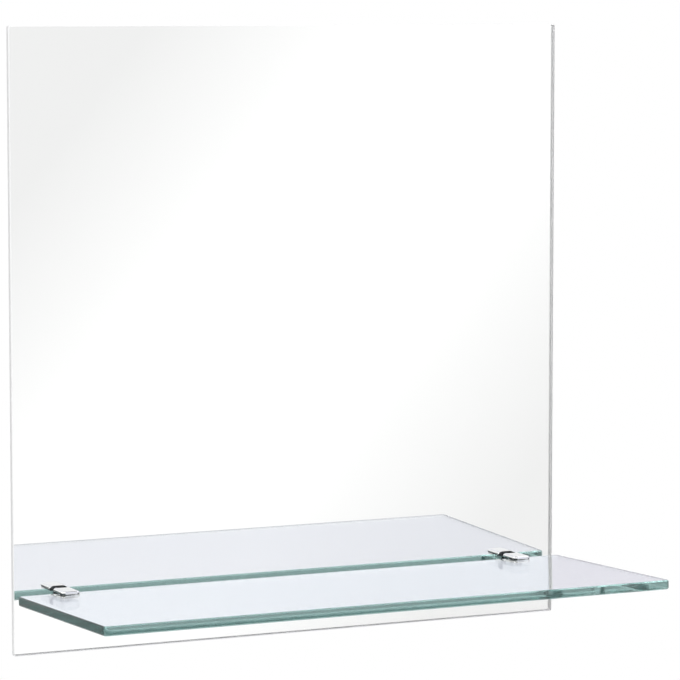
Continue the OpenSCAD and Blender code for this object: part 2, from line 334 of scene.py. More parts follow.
def bevel(piece: Piece, test: EdgeTest, width: float, segments: int = 1) -> None:
    """Chamfers or rounds the edges that pass a test.

    Args:
        piece: The piece.
        test: Says whether an edge is bevelled.
        width: Width of a chamfer on each face, which is the radius at a right angle.
        segments: 1 for a chamfer, more for a rounding.
    """
    with EditMode(piece) as edit:
        count = edit.choose(test)
        if count:
            bpy.ops.mesh.bevel(offset_type="OFFSET", offset=width, segments=segments, profile=0.5)
    if not count:
        raise ValueError(f"{piece.name}: no edge to bevel")


def extrude(x: float = 0.0, y: float = 0.0, z: float = 0.0) -> None:
    """Extrudes what is selected in edit mode by a step along the axes."""
    bpy.ops.mesh.extrude_region_move(TRANSFORM_OT_translate={"value": (x, y, z)})


def apply_modifier(piece: Piece, kind: str, **settings: object) -> None:
    """Adds a modifier, sets it and applies it.

    Args:
        piece: The piece.
        kind: The modifier's type.
        **settings: Its properties by name.
    """
    modifier = piece.modifiers.new(kind.title(), kind)
    for name, value in settings.items():
        setattr(modifier, name, value)
    pick(piece)
    bpy.ops.object.modifier_apply(modifier=modifier.name)


def round_rims(piece: Piece, rims: dict[float, Triple]) -> None:
    """Rounds the outlines of a piece's flat ends, with radii that change along each outline.

    Args:
        piece: The piece, whose ends are level.
        rims: For the height of each end, the radii at its sides, at its front and at its back.
    """
    widest = max(max(radii) for radii in rims.values())
    front = min(vertex.co.y for vertex in piece.data.vertices)
    back = max(vertex.co.y for vertex in piece.data.vertices)
    weights = piece.data.attributes.new("bevel_weight_edge", "FLOAT", "EDGE")
    for edge in piece.data.edges:
        start, end = (piece.data.vertices[index].co for index in edge.vertices)
        for height, (at_sides, at_front, at_back) in rims.items():
            if near(start.z, height) and near(end.z, height):
                across = abs(end.x - start.x) / (end - start).length
                ahead = start.y + end.y < front + back
                other = at_front if ahead else at_back
                radius = at_sides + (other - at_sides) * across**2
                weights.data[edge.index].value = radius / widest
    apply_modifier(
        piece, "BEVEL", width=widest, segments=7, limit_method="WEIGHT", use_clamp_overlap=False
    )


def ease(piece: Piece, width: float, segments: int = 2, angle: float = 30.0) -> None:
    """Breaks every edge that is sharper than an angle in degrees, all round the piece.

    Args:
        piece: The piece.
        width: Width of the bevel on each face.
        segments: Faces across it.
        angle: Edges sharper than this, in degrees, are broken.
    """
    apply_modifier(
        piece,
        "BEVEL",
        width=width,
        segments=segments,
        limit_method="ANGLE",
        angle_limit=math.radians(angle),
        use_clamp_overlap=True,
    )


def cut(piece: Piece, cutter: Piece) -> None:
    """Cuts one shape out of a piece and removes the cutter."""
    apply_modifier(piece, "BOOLEAN", operation="DIFFERENCE", solver="EXACT", object=cutter)
    bpy.data.objects.remove(cutter)


def drill(piece: Piece, radius: float, span: Span, place: Matrix | None = None, sides: int = 64) -> None:
    """Drills a round hole along the Z axis of a local frame.

    Args:
        piece: The piece.
        radius: The hole's radius.
        span: Where the drill starts and ends on that axis.
        place: The local frame, or None for the one that the piece is modelled in.
        sides: Faces round the hole.
    """
    cut(piece, settle(add_rod("drill", radius, *span, sides), place))


def smooth(piece: Piece, angle: float = 35.0) -> None:
    """Shades a piece smooth, with its large flats kept flat up to their roundings.

    Args:
        piece: The piece.
        angle: Edges sharper than this, in degrees, stay sharp.
    """
    pick(piece)
    bpy.ops.object.shade_smooth_by_angle(angle=math.radians(angle))
    apply_modifier(piece, "WEIGHTED_NORMAL", weight=100, keep_sharp=True, mode="FACE_AREA")


def join(pieces: Sequence[Piece]) -> Piece:
    """Joins pieces into the first of them.

    Args:
        pieces: The pieces, the one that stays first.

    Returns:
        The joined piece.
    """
    pick(pieces[0])
    for piece in pieces[1:]:
        piece.select_set(True)
    bpy.ops.object.join()
    return pieces[0]


def mark_faces(piece: Piece, name: str, test: FaceTest) -> None:
    """Writes a mask on a piece: 1 on the corners of the faces that pass a test, 0 elsewhere.

    Args:
        piece: The finished piece.
        name: Name of the attribute that a material reads.
        test: Says whether a face is marked.
    """
    mesh = bmesh.new()
    mesh.from_mesh(piece.data)
    mesh.normal_update()
    marked = {face.index for face in mesh.faces if test(face)}
    mesh.free()
    layer = piece.data.attributes.new(name, "FLOAT", "CORNER")
    for polygon in piece.data.polygons:
        for corner in polygon.loop_indices:
            layer.data[corner].value = 1.0 if polygon.index in marked else 0.0


# ---- Finishes ----


class Graph:
    """Adds nodes to one node tree and joins them."""

    def __init__(self, tree: Tree) -> None:
        """Starts with an empty tree."""
        self.tree = tree
        tree.nodes.clear()

    def add(self, kind: str, sockets: dict[str | int, object] | None = None, **settings: object) -> Node:
        """Adds a node.

        Args:
            kind: The node's type, without its ShaderNode prefix.
            sockets: For each input, a value or another node's output.
            **settings: The node's own properties.

        Returns:
            The node.
        """
        node = self.tree.nodes.new(kind if kind.startswith("Node") else "ShaderNode" + kind)
        for name, value in settings.items():
            setattr(node, name, value)
        for key, value in (sockets or {}).items():
            if isinstance(value, Socket):
                self.join(value, node.inputs[key])
            else:
                node.inputs[key].default_value = value
        return node

    def join(self, value: Socket, target: Socket) -> None:
        """Joins an output to an input."""
        self.tree.links.new(value, target)

    def maths(self, operation: str, *values: object) -> Socket:
        """Adds a Math node and returns its value."""
        return self.add("Math", dict(enumerate(values)), operation=operation).outputs[0]

    def product(self, first: object, *others: object) -> Socket:
        """Multiplies values with each other and returns the result.

        Args:
            first: A value or an output.
            *others: The values or outputs that it is multiplied by.

        Returns:
            The product.
        """
        result = first
        for value in others:
            result = self.maths("MULTIPLY", result, value)
        return result

    def ramp(self, value: Socket, span: Span, results: Span = WHOLE) -> Socket:
        """Maps a value from one span to another, clamped.

        Args:
            value: What is mapped.
            span: The values that give the first and the last result.
            results: The first and the last result.

        Returns:
            The mapped value.
        """
        sockets = {"Value": value, "From Min": span[0], "From Max": span[1]}
        sockets |= {"To Min": results[0], "To Max": results[1]}
        return self.add("MapRange", sockets).outputs["Result"]

    def fall(self, value: Socket, span: Span) -> Socket:
        """Maps a value to 1 below a span and to 0 above it."""
        return self.ramp(value, span, (1.0, 0.0))

    def blend(self, share: object, first: object, second: object) -> Socket:
        """Mixes two values and returns the result."""
        return self.add("Mix", {0: share, 2: first, 3: second}).outputs[0]

    def mix(self, share: object, first: object, second: object) -> Socket:
        """Mixes two colours and returns the result."""
        return self.add("Mix", {0: share, 6: first, 7: second}, data_type="RGBA").outputs[2]

    def place(self) -> Socket:
        """The place on the object, in metres."""
        return self.add("TexCoord").outputs["Object"]

    def stretched(self, scale: Triple, rotation: Triple = (0.0, 0.0, 0.0)) -> Socket:
        """The place on the object, scaled along each axis and then turned."""
        sockets = {"Vector": self.place(), "Rotation": rotation, "Scale": scale}
        return self.add("Mapping", sockets).outputs[0]

    def noise(self, place: Socket, scale: object, detail: float) -> Socket:
        """Adds a Noise Texture and returns its value."""
        return self.add("TexNoise", {"Vector": place, "Scale": scale, "Detail": detail}).outputs[0]


def rgba(colour: Colour) -> Shade:
    """A colour with full alpha."""
    return (*colour, 1.0)


def grey(value: float) -> Shade:
    """A neutral colour with full alpha."""
    return rgba((value,) * 3)


def tinted(colour: Colour, share: float) -> Shade:
    """A colour made lighter or darker by a share of itself, with full alpha."""
    return rgba(tuple(min(1.0, channel * (1.0 + share)) for channel in colour))


class Effects:
    """Surface effects that several finishes use, each a node group built once."""

    def __init__(self) -> None:
        """Builds the groups."""
        self.mottle = self._mottle()
        self.scuffs = self._scuffs()
        self.skin = self._skin()

    @staticmethod
    def _group(name: str, inputs: dict[str, float], *outputs: str) -> tuple[Graph, Node, Node]:
        """Starts a group whose inputs and outputs are values.

        Args:
            name: The group's name.
            inputs: Each input's name and default value.
            *outputs: Each output's name.

        Returns:
            The graph, its input node and its output node.
        """
        tree = bpy.data.node_groups.new(name, "ShaderNodeTree")
        for word, value in inputs.items():
            socket = tree.interface.new_socket(word, in_out="INPUT", socket_type="NodeSocketFloat")
            socket.default_value = value
        for word in outputs:
            tree.interface.new_socket(word, in_out="OUTPUT", socket_type="NodeSocketFloat")
        graph = Graph(tree)
        return graph, graph.add("NodeGroupInput"), graph.add("NodeGroupOutput")

    @classmethod
    def _mottle(cls) -> Tree:
        """Soft cloudy variation with finer specks in it, from 0 to 1.

        Returns:
            The group.
        """
        graph, given, result = cls._group("soft_mottle", {"Scale": 60.0, "Specks": 0.3}, "Amount")
        place = graph.place()
        clouds = graph.noise(place, given.outputs["Scale"], detail=4.0)
        specks = graph.noise(place, graph.product(given.outputs["Scale"], 11.0), detail=2.0)
        both = graph.blend(given.outputs["Specks"], clouds, specks)
        graph.join(graph.ramp(both, (0.3, 0.7)), result.inputs["Amount"])
        return graph.tree

    @classmethod
    def _scuffs(cls) -> Tree:
        """Hair-fine rub marks that cross each other, as a mask and a height.

        Returns:
            The group.
        """
        inputs = {"Scale": 400.0, "Sparseness": 0.62}
        graph, given, result = cls._group("fine_scuffs", inputs, "Mask", "Height")
        marks = []
        for turn, stretch in ((0.5, 12.0), (-0.9, 15.0)):
            turned = graph.stretched((1.0, 1.0, stretch), (turn, turn * 0.7, turn * 1.3))
            noise = graph.noise(turned, given.outputs["Scale"], detail=1.0)
            over = graph.maths("SUBTRACT", noise, given.outputs["Sparseness"])
            marks.append(graph.ramp(over, (0.0, 0.08)))
        mask = graph.maths("MAXIMUM", *marks)
        graph.join(mask, result.inputs["Mask"])
        graph.join(graph.product(mask, -1.0), result.inputs["Height"])
        return graph.tree

    @classmethod
    def _skin(cls) -> Tree:
        """The fine grain of a moulded or sprayed surface, as a height from 0 to 1.

        Returns:
            The group.
        """
        inputs = {"Scale": 2500.0, "Waviness": 0.4}
        graph, given, result = cls._group("moulded_skin", inputs, "Height")
        place = graph.place()
        grain = graph.add("TexVoronoi", {"Vector": place, "Scale": given.outputs["Scale"]})
        waves = graph.noise(place, graph.product(given.outputs["Scale"], 0.08), detail=3.0)
        both = graph.blend(given.outputs["Waviness"], grain.outputs["Distance"], waves)
        graph.join(both, result.inputs["Height"])
        return graph.tree


class Paint:
    """One material under construction: its graph and its Principled shader."""

    def __init__(self, name: str, **sockets: object) -> None:
        """Starts a material with plain values on its shader.

        Args:
            name: The material's name.
            **sockets: Values by socket name, with underscores for spaces.
        """
        self.material = bpy.data.materials.new(name)
        self.material.use_nodes = True
        self.graph = Graph(self.material.node_tree)
        values = {word.replace("_", " "): value for word, value in sockets.items()}
        self.shader = self.graph.add("BsdfPrincipled", values)
        self.output = self.graph.add("OutputMaterial", {"Surface": self.shader.outputs[0]})

    def effect(self, tree: Tree, **sockets: float) -> Node:
        """Places one of the shared groups with its own values."""
        return self.graph.add("Group", sockets, node_tree=tree)

    def feed(self, socket: str, value: Socket) -> None:
        """Joins a varying value to the shader."""
        self.graph.join(value, self.shader.inputs[socket])

    def bump(self, height: Socket, depth: float, strength: float) -> None:
        """Raises the surface by a height, in metres at height 1."""
        node = self.graph.add("Bump", {"Height": height, "Distance": depth, "Strength": strength})
        self.feed("Normal", node.outputs[0])

    def vary(self, colour: Colour, amount: Socket, spread: float) -> None:
        """Lets the base colour drift by a share of itself."""
        self.feed("Base Color", self.graph.mix(amount, tinted(colour, -spread), tinted(colour, spread)))

    def vary_roughness(self, roughness: float, amount: Socket, shares: Span) -> None:
        """Lets the roughness drift between two shares of itself."""
        span = (roughness * shares[0], roughness * shares[1])
        self.feed("Roughness", self.graph.ramp(amount, WHOLE, span))


@dataclass(frozen=True)
class FloatGlass:
    """Clear soda-lime float glass, green through its thickness, with ground arrises."""

    name: str
    tint: Colour = (0.19, 0.525, 0.50)
    density: float = 8.0
    ior: float = 1.52
    ground_roughness: float = 0.22
    edge_roughness: float = 0.08

    def make(self) -> Material:
        """Builds the material, which reads the masks ground and edge from the mesh.

        Returns:
            The material.
        """
        paint = Paint(
            self.name, Base_Color=WHITE, Roughness=0.0, IOR=self.ior, Transmission_Weight=1.0
        )
        graph = paint.graph
        rough = [
            graph.product(graph.add("Attribute", attribute_name=mask).outputs["Fac"], roughness)
            for mask, roughness in (("ground", self.ground_roughness), ("edge", self.edge_roughness))
        ]
        paint.feed("Roughness", graph.maths("ADD", *rough))
        if self.density:
            absorption = graph.add("VolumeAbsorption", {"Color": rgba(self.tint), "Density": self.density})
            graph.join(absorption.outputs[0], paint.output.inputs["Volume"])
        return paint.material


@dataclass(frozen=True)
class GroundGlass:
    """The ground, frosted edge of the mirror pane, with the wheel's fine marks along it."""

    name: str = "ground_glass"
    colour: Colour = (0.98, 0.98, 0.98)
    transmission: float = 0.4
    ior: float = 1.52
    roughness: float = 0.5

    def make(self, effects: Effects) -> Material:
        """Builds the material.

        Args:
            effects: The effects that finishes share.

        Returns:
            The material.
        """
        paint = Paint(self.name, Transmission_Weight=self.transmission, IOR=self.ior)
        clouds = paint.effect(effects.mottle, Scale=300.0, Specks=0.5).outputs[0]
        paint.vary(self.colour, clouds, spread=0.03)
        paint.vary_roughness(self.roughness, clouds, shares=(0.9, 1.1))
        skin = paint.effect(effects.skin, Scale=4000.0, Waviness=0.3).outputs[0]
        paint.bump(skin, depth=0.01 * MM, strength=0.5)
        return paint.material


@dataclass(frozen=True)
class Silver:
    """The silver layer, seen through the pane."""

    name: str = "silver_layer"
    colour: Colour = (0.985, 0.99, 0.985)

    def make(self, effects: Effects) -> Material:
        """Builds the material.

        Args:
            effects: The effects that finishes share.

        Returns:
            The material.
        """
        paint = Paint(self.name, Metallic=1.0, Roughness=0.0)
        amount = paint.effect(effects.mottle, Scale=30.0, Specks=0.1).outputs[0]
        paint.vary(self.colour, amount, spread=0.002)
        return paint.material


@dataclass(frozen=True)
class BackingPaint:
    """Grey protective paint, flowed on in a curtain, so faintly streaked along one way."""

    name: str = "backing_paint"
    colour: Colour = (0.30, 0.33, 0.35)
    streak_stretch: Triple = (1.0, 1.0, 0.04)

    def make(self, effects: Effects) -> Material:
        """Builds the material.

        Args:
            effects: The effects that finishes share.

        Returns:
            The material.
        """
        paint = Paint(self.name, Roughness=0.5, Specular_IOR_Level=0.45)
        graph = paint.graph
        streaks = graph.noise(graph.stretched(self.streak_stretch), scale=160.0, detail=3.0)
        mottle = paint.effect(effects.mottle, Scale=25.0, Specks=0.35).outputs[0]
        amount = graph.blend(0.5, streaks, mottle)
        paint.vary(self.colour, amount, spread=0.09)
        paint.feed("Roughness", graph.ramp(amount, (0.2, 0.8), results=(0.42, 0.6)))
        skin = paint.effect(effects.skin, Scale=1400.0, Waviness=0.7).outputs[0]
        paint.bump(skin, depth=0.05 * MM, strength=0.5)
        return paint.material


@dataclass(frozen=True)
class Chrome:
    """Polished chrome on die-cast zinc, with hair-fine marks from handling."""

    name: str = "polished_chrome"
    colour: Colour = (0.86, 0.87, 0.88)
    roughness: Span = (0.035, 0.075)
    worn: float = 0.10

    def make(self, effects: Effects) -> Material:
        """Builds the material.

        Args:
            effects: The effects that finishes share.

        Returns:
            The material.
        """
        paint = Paint(self.name, Base_Color=rgba(self.colour), Metallic=1.0)
        graph = paint.graph
        scuffs = paint.effect(effects.scuffs, Scale=900.0, Sparseness=0.66)
        clouds = paint.effect(effects.mottle, Scale=220.0, Specks=0.2).outputs[0]
        worn = graph.product(scuffs.outputs["Mask"], self.worn)
        paint.feed("Roughness", graph.maths("ADD", worn, graph.ramp(clouds, WHOLE, self.roughness)))
        paint.bump(scuffs.outputs["Height"], depth=0.002 * MM, strength=0.4)
        return paint.material


@dataclass(frozen=True)
class Plated:
    """Zinc-plated or bright steel, with its rolling or turning marks."""

    name: str
    colour: Colour
    warm: Colour
    roughness: float
    grain: Triple = (1.0, 1.0, 0.05)
    grain_scale: float = 900.0
    worn: float = 0.12

    def make(self, effects: Effects) -> Material:
        """Builds the material.

        Args:
            effects: The effects that finishes share.

        Returns:
            The material.
        """
        paint = Paint(self.name, Metallic=1.0)
        graph = paint.graph
        lines = graph.noise(graph.stretched(self.grain), self.grain_scale, detail=3.0)
        clouds = paint.effect(effects.mottle, Scale=90.0, Specks=0.25).outputs[0]
        scuffs = paint.effect(effects.scuffs, Scale=500.0, Sparseness=0.64)
        paint.feed("Base Color", graph.mix(clouds, rgba(self.colour), rgba(self.warm)))
        satin = graph.ramp(lines, (0.3, 0.7), (self.roughness * 0.8, self.roughness * 1.25))
        worn = graph.product(scuffs.outputs["Mask"], self.worn)
        paint.feed("Roughness", graph.maths("ADD", satin, worn))
        paint.bump(lines, depth=0.01 * MM, strength=0.35)
        return paint.material


@dataclass(frozen=True)
class Moulded:
    """A moulded rubber or plastic, with its skin and slight unevenness of colour."""

    name: str
    colour: Colour
    roughness: float
    skin_scale: float = 2500.0
    skin_depth: float = 0.01 * MM
    spread: float = 0.05
    subsurface: float = 0.0

    def make(self, effects: Effects) -> Material:
        """Builds the material.

        Args:
            effects: The effects that finishes share.

        Returns:
            The material.
        """
        paint = Paint(
            self.name,
            Subsurface_Weight=self.subsurface,
            Subsurface_Radius=(1.0, 1.0, 0.9),
            Subsurface_Scale=1.0 * MM,
            IOR=1.5,
        )
        clouds = paint.effect(effects.mottle, Scale=150.0, Specks=0.4).outputs[0]
        paint.vary(self.colour, clouds, self.spread)
        paint.vary_roughness(self.roughness, clouds, shares=(0.88, 1.12))
        skin = paint.effect(effects.skin, Scale=self.skin_scale, Waviness=0.35).outputs[0]
        paint.bump(skin, self.skin_depth, strength=0.6)
        return paint.material


@dataclass(frozen=True)
class Foam:
    """White closed-cell foam tape with open pores at its cut sides."""

    name: str = "foam_tape"
    colour: Colour = (0.84, 0.84, 0.80)
    cell_scale: float = 3200.0
    cell_depth: float = 0.06 * MM

    def make(self, effects: Effects) -> Material:
        """Builds the material.

        Args:
            effects: The effects that finishes share.

        Returns:
            The material.
        """
        paint = Paint(self.name, Roughness=0.85, Specular_IOR_Level=0.3)
        graph = paint.graph
        cells = graph.add("TexVoronoi", {"Vector": graph.place(), "Scale": self.cell_scale})
        depth = graph.ramp(cells.outputs["Distance"], (0.1, 0.6))
        mottle = paint.effect(effects.mottle, Scale=200.0, Specks=0.5).outputs[0]
        # The colour follows the pores' depth: their hollows are painted darker, painted shade mixed with
        # random mottle.
        paint.vary(self.colour, graph.product(depth, mottle), spread=0.08)
        paint.bump(depth, self.cell_depth, strength=0.7)
        return paint.material


class Finishes:
    """Every finish of the object, made once and shared by its pieces."""

    def __init__(self) -> None:
        """Builds the shared effects and then each material."""
        effects = Effects()
        self.mirror_glass = FloatGlass("mirror_glass", density=0.0).make()
        self.ground_glass = GroundGlass().make(effects)
        self.shelf_glass = FloatGlass("shelf_glass").make()
        self.silver = Silver().make(effects)
        self.backing = BackingPaint().make(effects)
        self.chrome = Chrome().make(effects)
        self.steel = Plated("bright_steel", (0.60, 0.61, 0.62), (0.54, 0.54, 0.54), 0.26).make(effects)
        self.zinc = Plated("blue_zinc", (0.70, 0.72, 0.74), (0.72, 0.71, 0.66), 0.24).make(effects)
        self.sheet = Plated("zinc_sheet", (0.68, 0.69, 0.70), (0.62, 0.63, 0.64), 0.34).make(effects)
        self.nylon = Moulded("white_nylon", (0.80, 0.80, 0.77), 0.42, subsurface=0.25).make(effects)
        self.black_rubber = Moulded("black_rubber", (0.022, 0.032, 0.038), 0.62, spread=0.2).make(effects)
        grey_rubber = Moulded("grey_rubber", (0.035, 0.035, 0.037), 0.68, skin_scale=1800.0, spread=0.2)
        self.grey_rubber = grey_rubber.make(effects)
        self.foam = Foam().make(effects)


def hand_over(piece: Piece, body: str, finish: Material, node: str | None = None) -> None:
    """Gives a finished piece its material and body, and hides the CAD node it stands for.

    Args:
        piece: The piece, in place.
        body: The CAD body that it rides on.
        finish: Its material.
        node: The CAD node that it stands for, or None if the piece's name ends with it.
    """
    piece.data.materials.clear()
    piece.data.materials.append(finish)
    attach(piece, body)
    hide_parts(node or piece.name.removeprefix("fine_"))
    log.info("%s: %d faces on %s", piece.name, len(piece.data.polygons), body)


def dress_node(node: str, finish: Material) -> None:
    """Gives a CAD node that stays its material.

    Args:
        node: Name of the node.
        finish: Its material.
    """
    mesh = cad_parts[node].data
    mesh.materials.clear()
    mesh.materials.append(finish)
    log.info("%s: CAD node with a new finish", node)


# ---- Glass plates ----


@dataclass
class GlassPlate:
    """A rectangular glass plate with ground arrises, modelled with its upper face at z = 0."""

    width: float
    depth: float
    thickness: float
    arris: float
    corner_r: float
    corner_steps: int
    eased: float = 0.07 * MM
    edge_slope: float = 0.3
    face_slope: float = 0.98

    def build(self, name: str, holes: Sequence[Triple] = ()) -> Piece:
        """Models the plate, centred on X and running from y = -depth to y = 0.

        Args:
            name: Name of the new piece.
            holes: X, Y and radius of each hole through it.

        Returns:
            The plate, with the masks ground and edge on its faces.
        """
        half = self.width / 2
        plate = add_block(name, (-half, -self.depth, -self.thickness), (half, 0.0, 0.0))
        bevel(plate, along(Axis.Z), self.corner_r, self.corner_steps)
        bevel(plate, at(Axis.Z, 0.0, -self.thickness), self.arris)
        for x, y, radius in holes:
            drill(plate, radius, (-2 * self.thickness, self.thickness), Matrix.Translation((x, y, 0.0)))
        ease(plate, self.eased, angle=25.0)
        self._mark(plate)
        return plate

    def _mark(self, plate: Piece) -> None:
        """Marks the ground arrises and the upright edge between them, by the slope of their normals.

        Args:
            plate: The finished plate.
        """
        mark_faces(
            plate, "ground", lambda face: self.edge_slope < abs(face.normal.z) < self.face_slope
        )
        mark_faces(plate, "edge", lambda face: abs(face.normal.z) <= self.edge_slope)


@dataclass
class Mirror:
    """The mirror pane, its silver layer and its backing paint."""

    width: float = 390 * MM
    height: float = 400 * MM
    thickness: float = 4 * MM
    arris: float = 0.5 * MM
    corner_r: float = 1.5 * MM
    hole_r: float = 3.25 * MM
    hole_spacing: float = 325 * MM
    silver_in_glass: float = 0.03 * MM
    silver_hole_margin: float = 0.3 * MM
    body: str = Body.MIRROR.value

    def build(self, finishes: Finishes) -> None:
        """Models the pane and its silver, and dresses the paint.

        Args:
            finishes: Every finish of the object.
        """
        hole_z = middle_of("fixing_washer_left")[2]
        self._pane(hole_z, finishes)
        self._silver(hole_z, finishes.silver)
        dress_node("backing_paint", finishes.backing)

    def _pane(self, hole_z: float, finishes: Finishes) -> None:
        """Models the pane flat and stands it up, with the ground finish on its edge and arrises.

        Args:
            hole_z: Height of the holes for the clamps.
            finishes: Every finish of the object.
        """
        low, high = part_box("mirror_glass")
        plate = GlassPlate(
            self.width, self.height, self.thickness, self.arris, self.corner_r, corner_steps=8
        )
        holes = [(side.value * self.hole_spacing / 2, hole_z - high.z, self.hole_r) for side in Side]
        pane = plate.build("mirror_pane", holes)
        settle(pane, to_front((0.0, low.y, high.z)))
        hand_over(pane, self.body, finishes.mirror_glass, "mirror_glass")
        pane.data.materials.append(finishes.ground_glass)
        masks = [pane.data.attributes[name].data for name in ("ground", "edge")]
        for polygon in pane.data.polygons:
            corner = polygon.loop_indices[0]
            polygon.material_index = int(any(mask[corner].value > 0.5 for mask in masks))

    def _silver(self, hole_z: float, finish: Material) -> None:
        """Models the silver layer, whose front lies just inside the glass.

        Args:
            hole_z: Height of the holes for the clamps.
            finish: Its material.
        """
        low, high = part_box("mirror_silvering")
        front = low.y - self.silver_in_glass
        layer = add_block("silver_layer", (low.x, front, low.z), (high.x, high.y, high.z))
        for side in Side:
            place = to_front((side.value * self.hole_spacing / 2, low.y, hole_z))
            drill(layer, self.hole_r + self.silver_hole_margin, (-self.thickness, self.thickness), place)
        hand_over(layer, self.body, finish, "mirror_silvering")


@dataclass
class Shelf:
    """The glass shelf, which rises towards its front."""

    width: float = 390 * MM
    depth: float = 150 * MM
    thickness: float = 6 * MM
    arris: float = 0.8 * MM
    corner_r: float = 3 * MM
    back_y: float = -18.7 * MM
    back_z: float = -300 * MM
    tilt: float = math.radians(2)

    @property
    def plane(self) -> Matrix:
        """Local frame of the shelf: upper back edge at the origin, depth along -Y."""
        lift = Matrix.Rotation(-self.tilt, 4, "X")
        return Matrix.Translation((0.0, self.back_y, self.back_z)) @ lift

    def build(self, finishes: Finishes) -> None:
        """Models the shelf and lays it in its plane.

        Args:
            finishes: Every finish of the object.
        """
        plate = GlassPlate(
            self.width, self.depth, self.thickness, self.arris, self.corner_r, corner_steps=16
        )
        shelf = settle(plate.build("shelf_plate"), self.plane)
        hand_over(shelf, Body.SHELF.value, finishes.shelf_glass, "shelf_glass")


# ---- Clamps ----


@dataclass
class Thread:
    """A right-handed metric thread, cut into a rod by moving the points of its surface."""

    diameter: float = 4 * MM
    pitch: float = 0.7 * MM
    depth: float = 0.42 * MM
    crest: float = 0.125
    slope: float = 0.625
    rows_per_pitch: int = 7
    most_rows: int = 99
    sides: int = 40

    @property
    def root_r(self) -> float:
        """Radius at the bottom of the thread."""
        return self.diameter / 2 - self.depth

    def rod(self, name: str, low: float, high: float) -> Piece:
        """Models a threaded rod along Z.

        Args:
            name: Name of the new piece.
            low: Height of its lower end.
            high: Height of its upper end.

        Returns:
            The rod, with its ends chamfered down to the thread's root.
        """
        rod = add_rod(name, self.diameter / 2, low, high, self.sides)
        rows = round((high - low) / self.pitch * self.rows_per_pitch)
        with EditMode(rod) as edit:
            edit.choose(along(Axis.Z))
            bpy.ops.mesh.subdivide(number_cuts=min(rows, self.most_rows))
        for vertex in rod.data.vertices:
            x, y, z = vertex.co
            to_end = min(z - low, high - z)
            radius = min(self.radius(math.atan2(y, x), z), self.root_r + to_end)
            share = radius / math.hypot(x, y)
            vertex.co = (x * share, y * share, z)
        return rod

    def radius(self, angle: float, z: float) -> float:
        """Radius of the thread's surface at an angle and a height.

        Args:
            angle: Angle round the axis, in radians.
            z: Height along the axis.

        Returns:
            The surface's distance from the axis.
        """
        turn = (z / self.pitch - angle / (2 * math.pi)) % 1.0
        drop = (abs(2 * turn - 1) - self.crest) / self.slope
        return self.diameter / 2 - self.depth * min(1.0, max(0.0, drop))


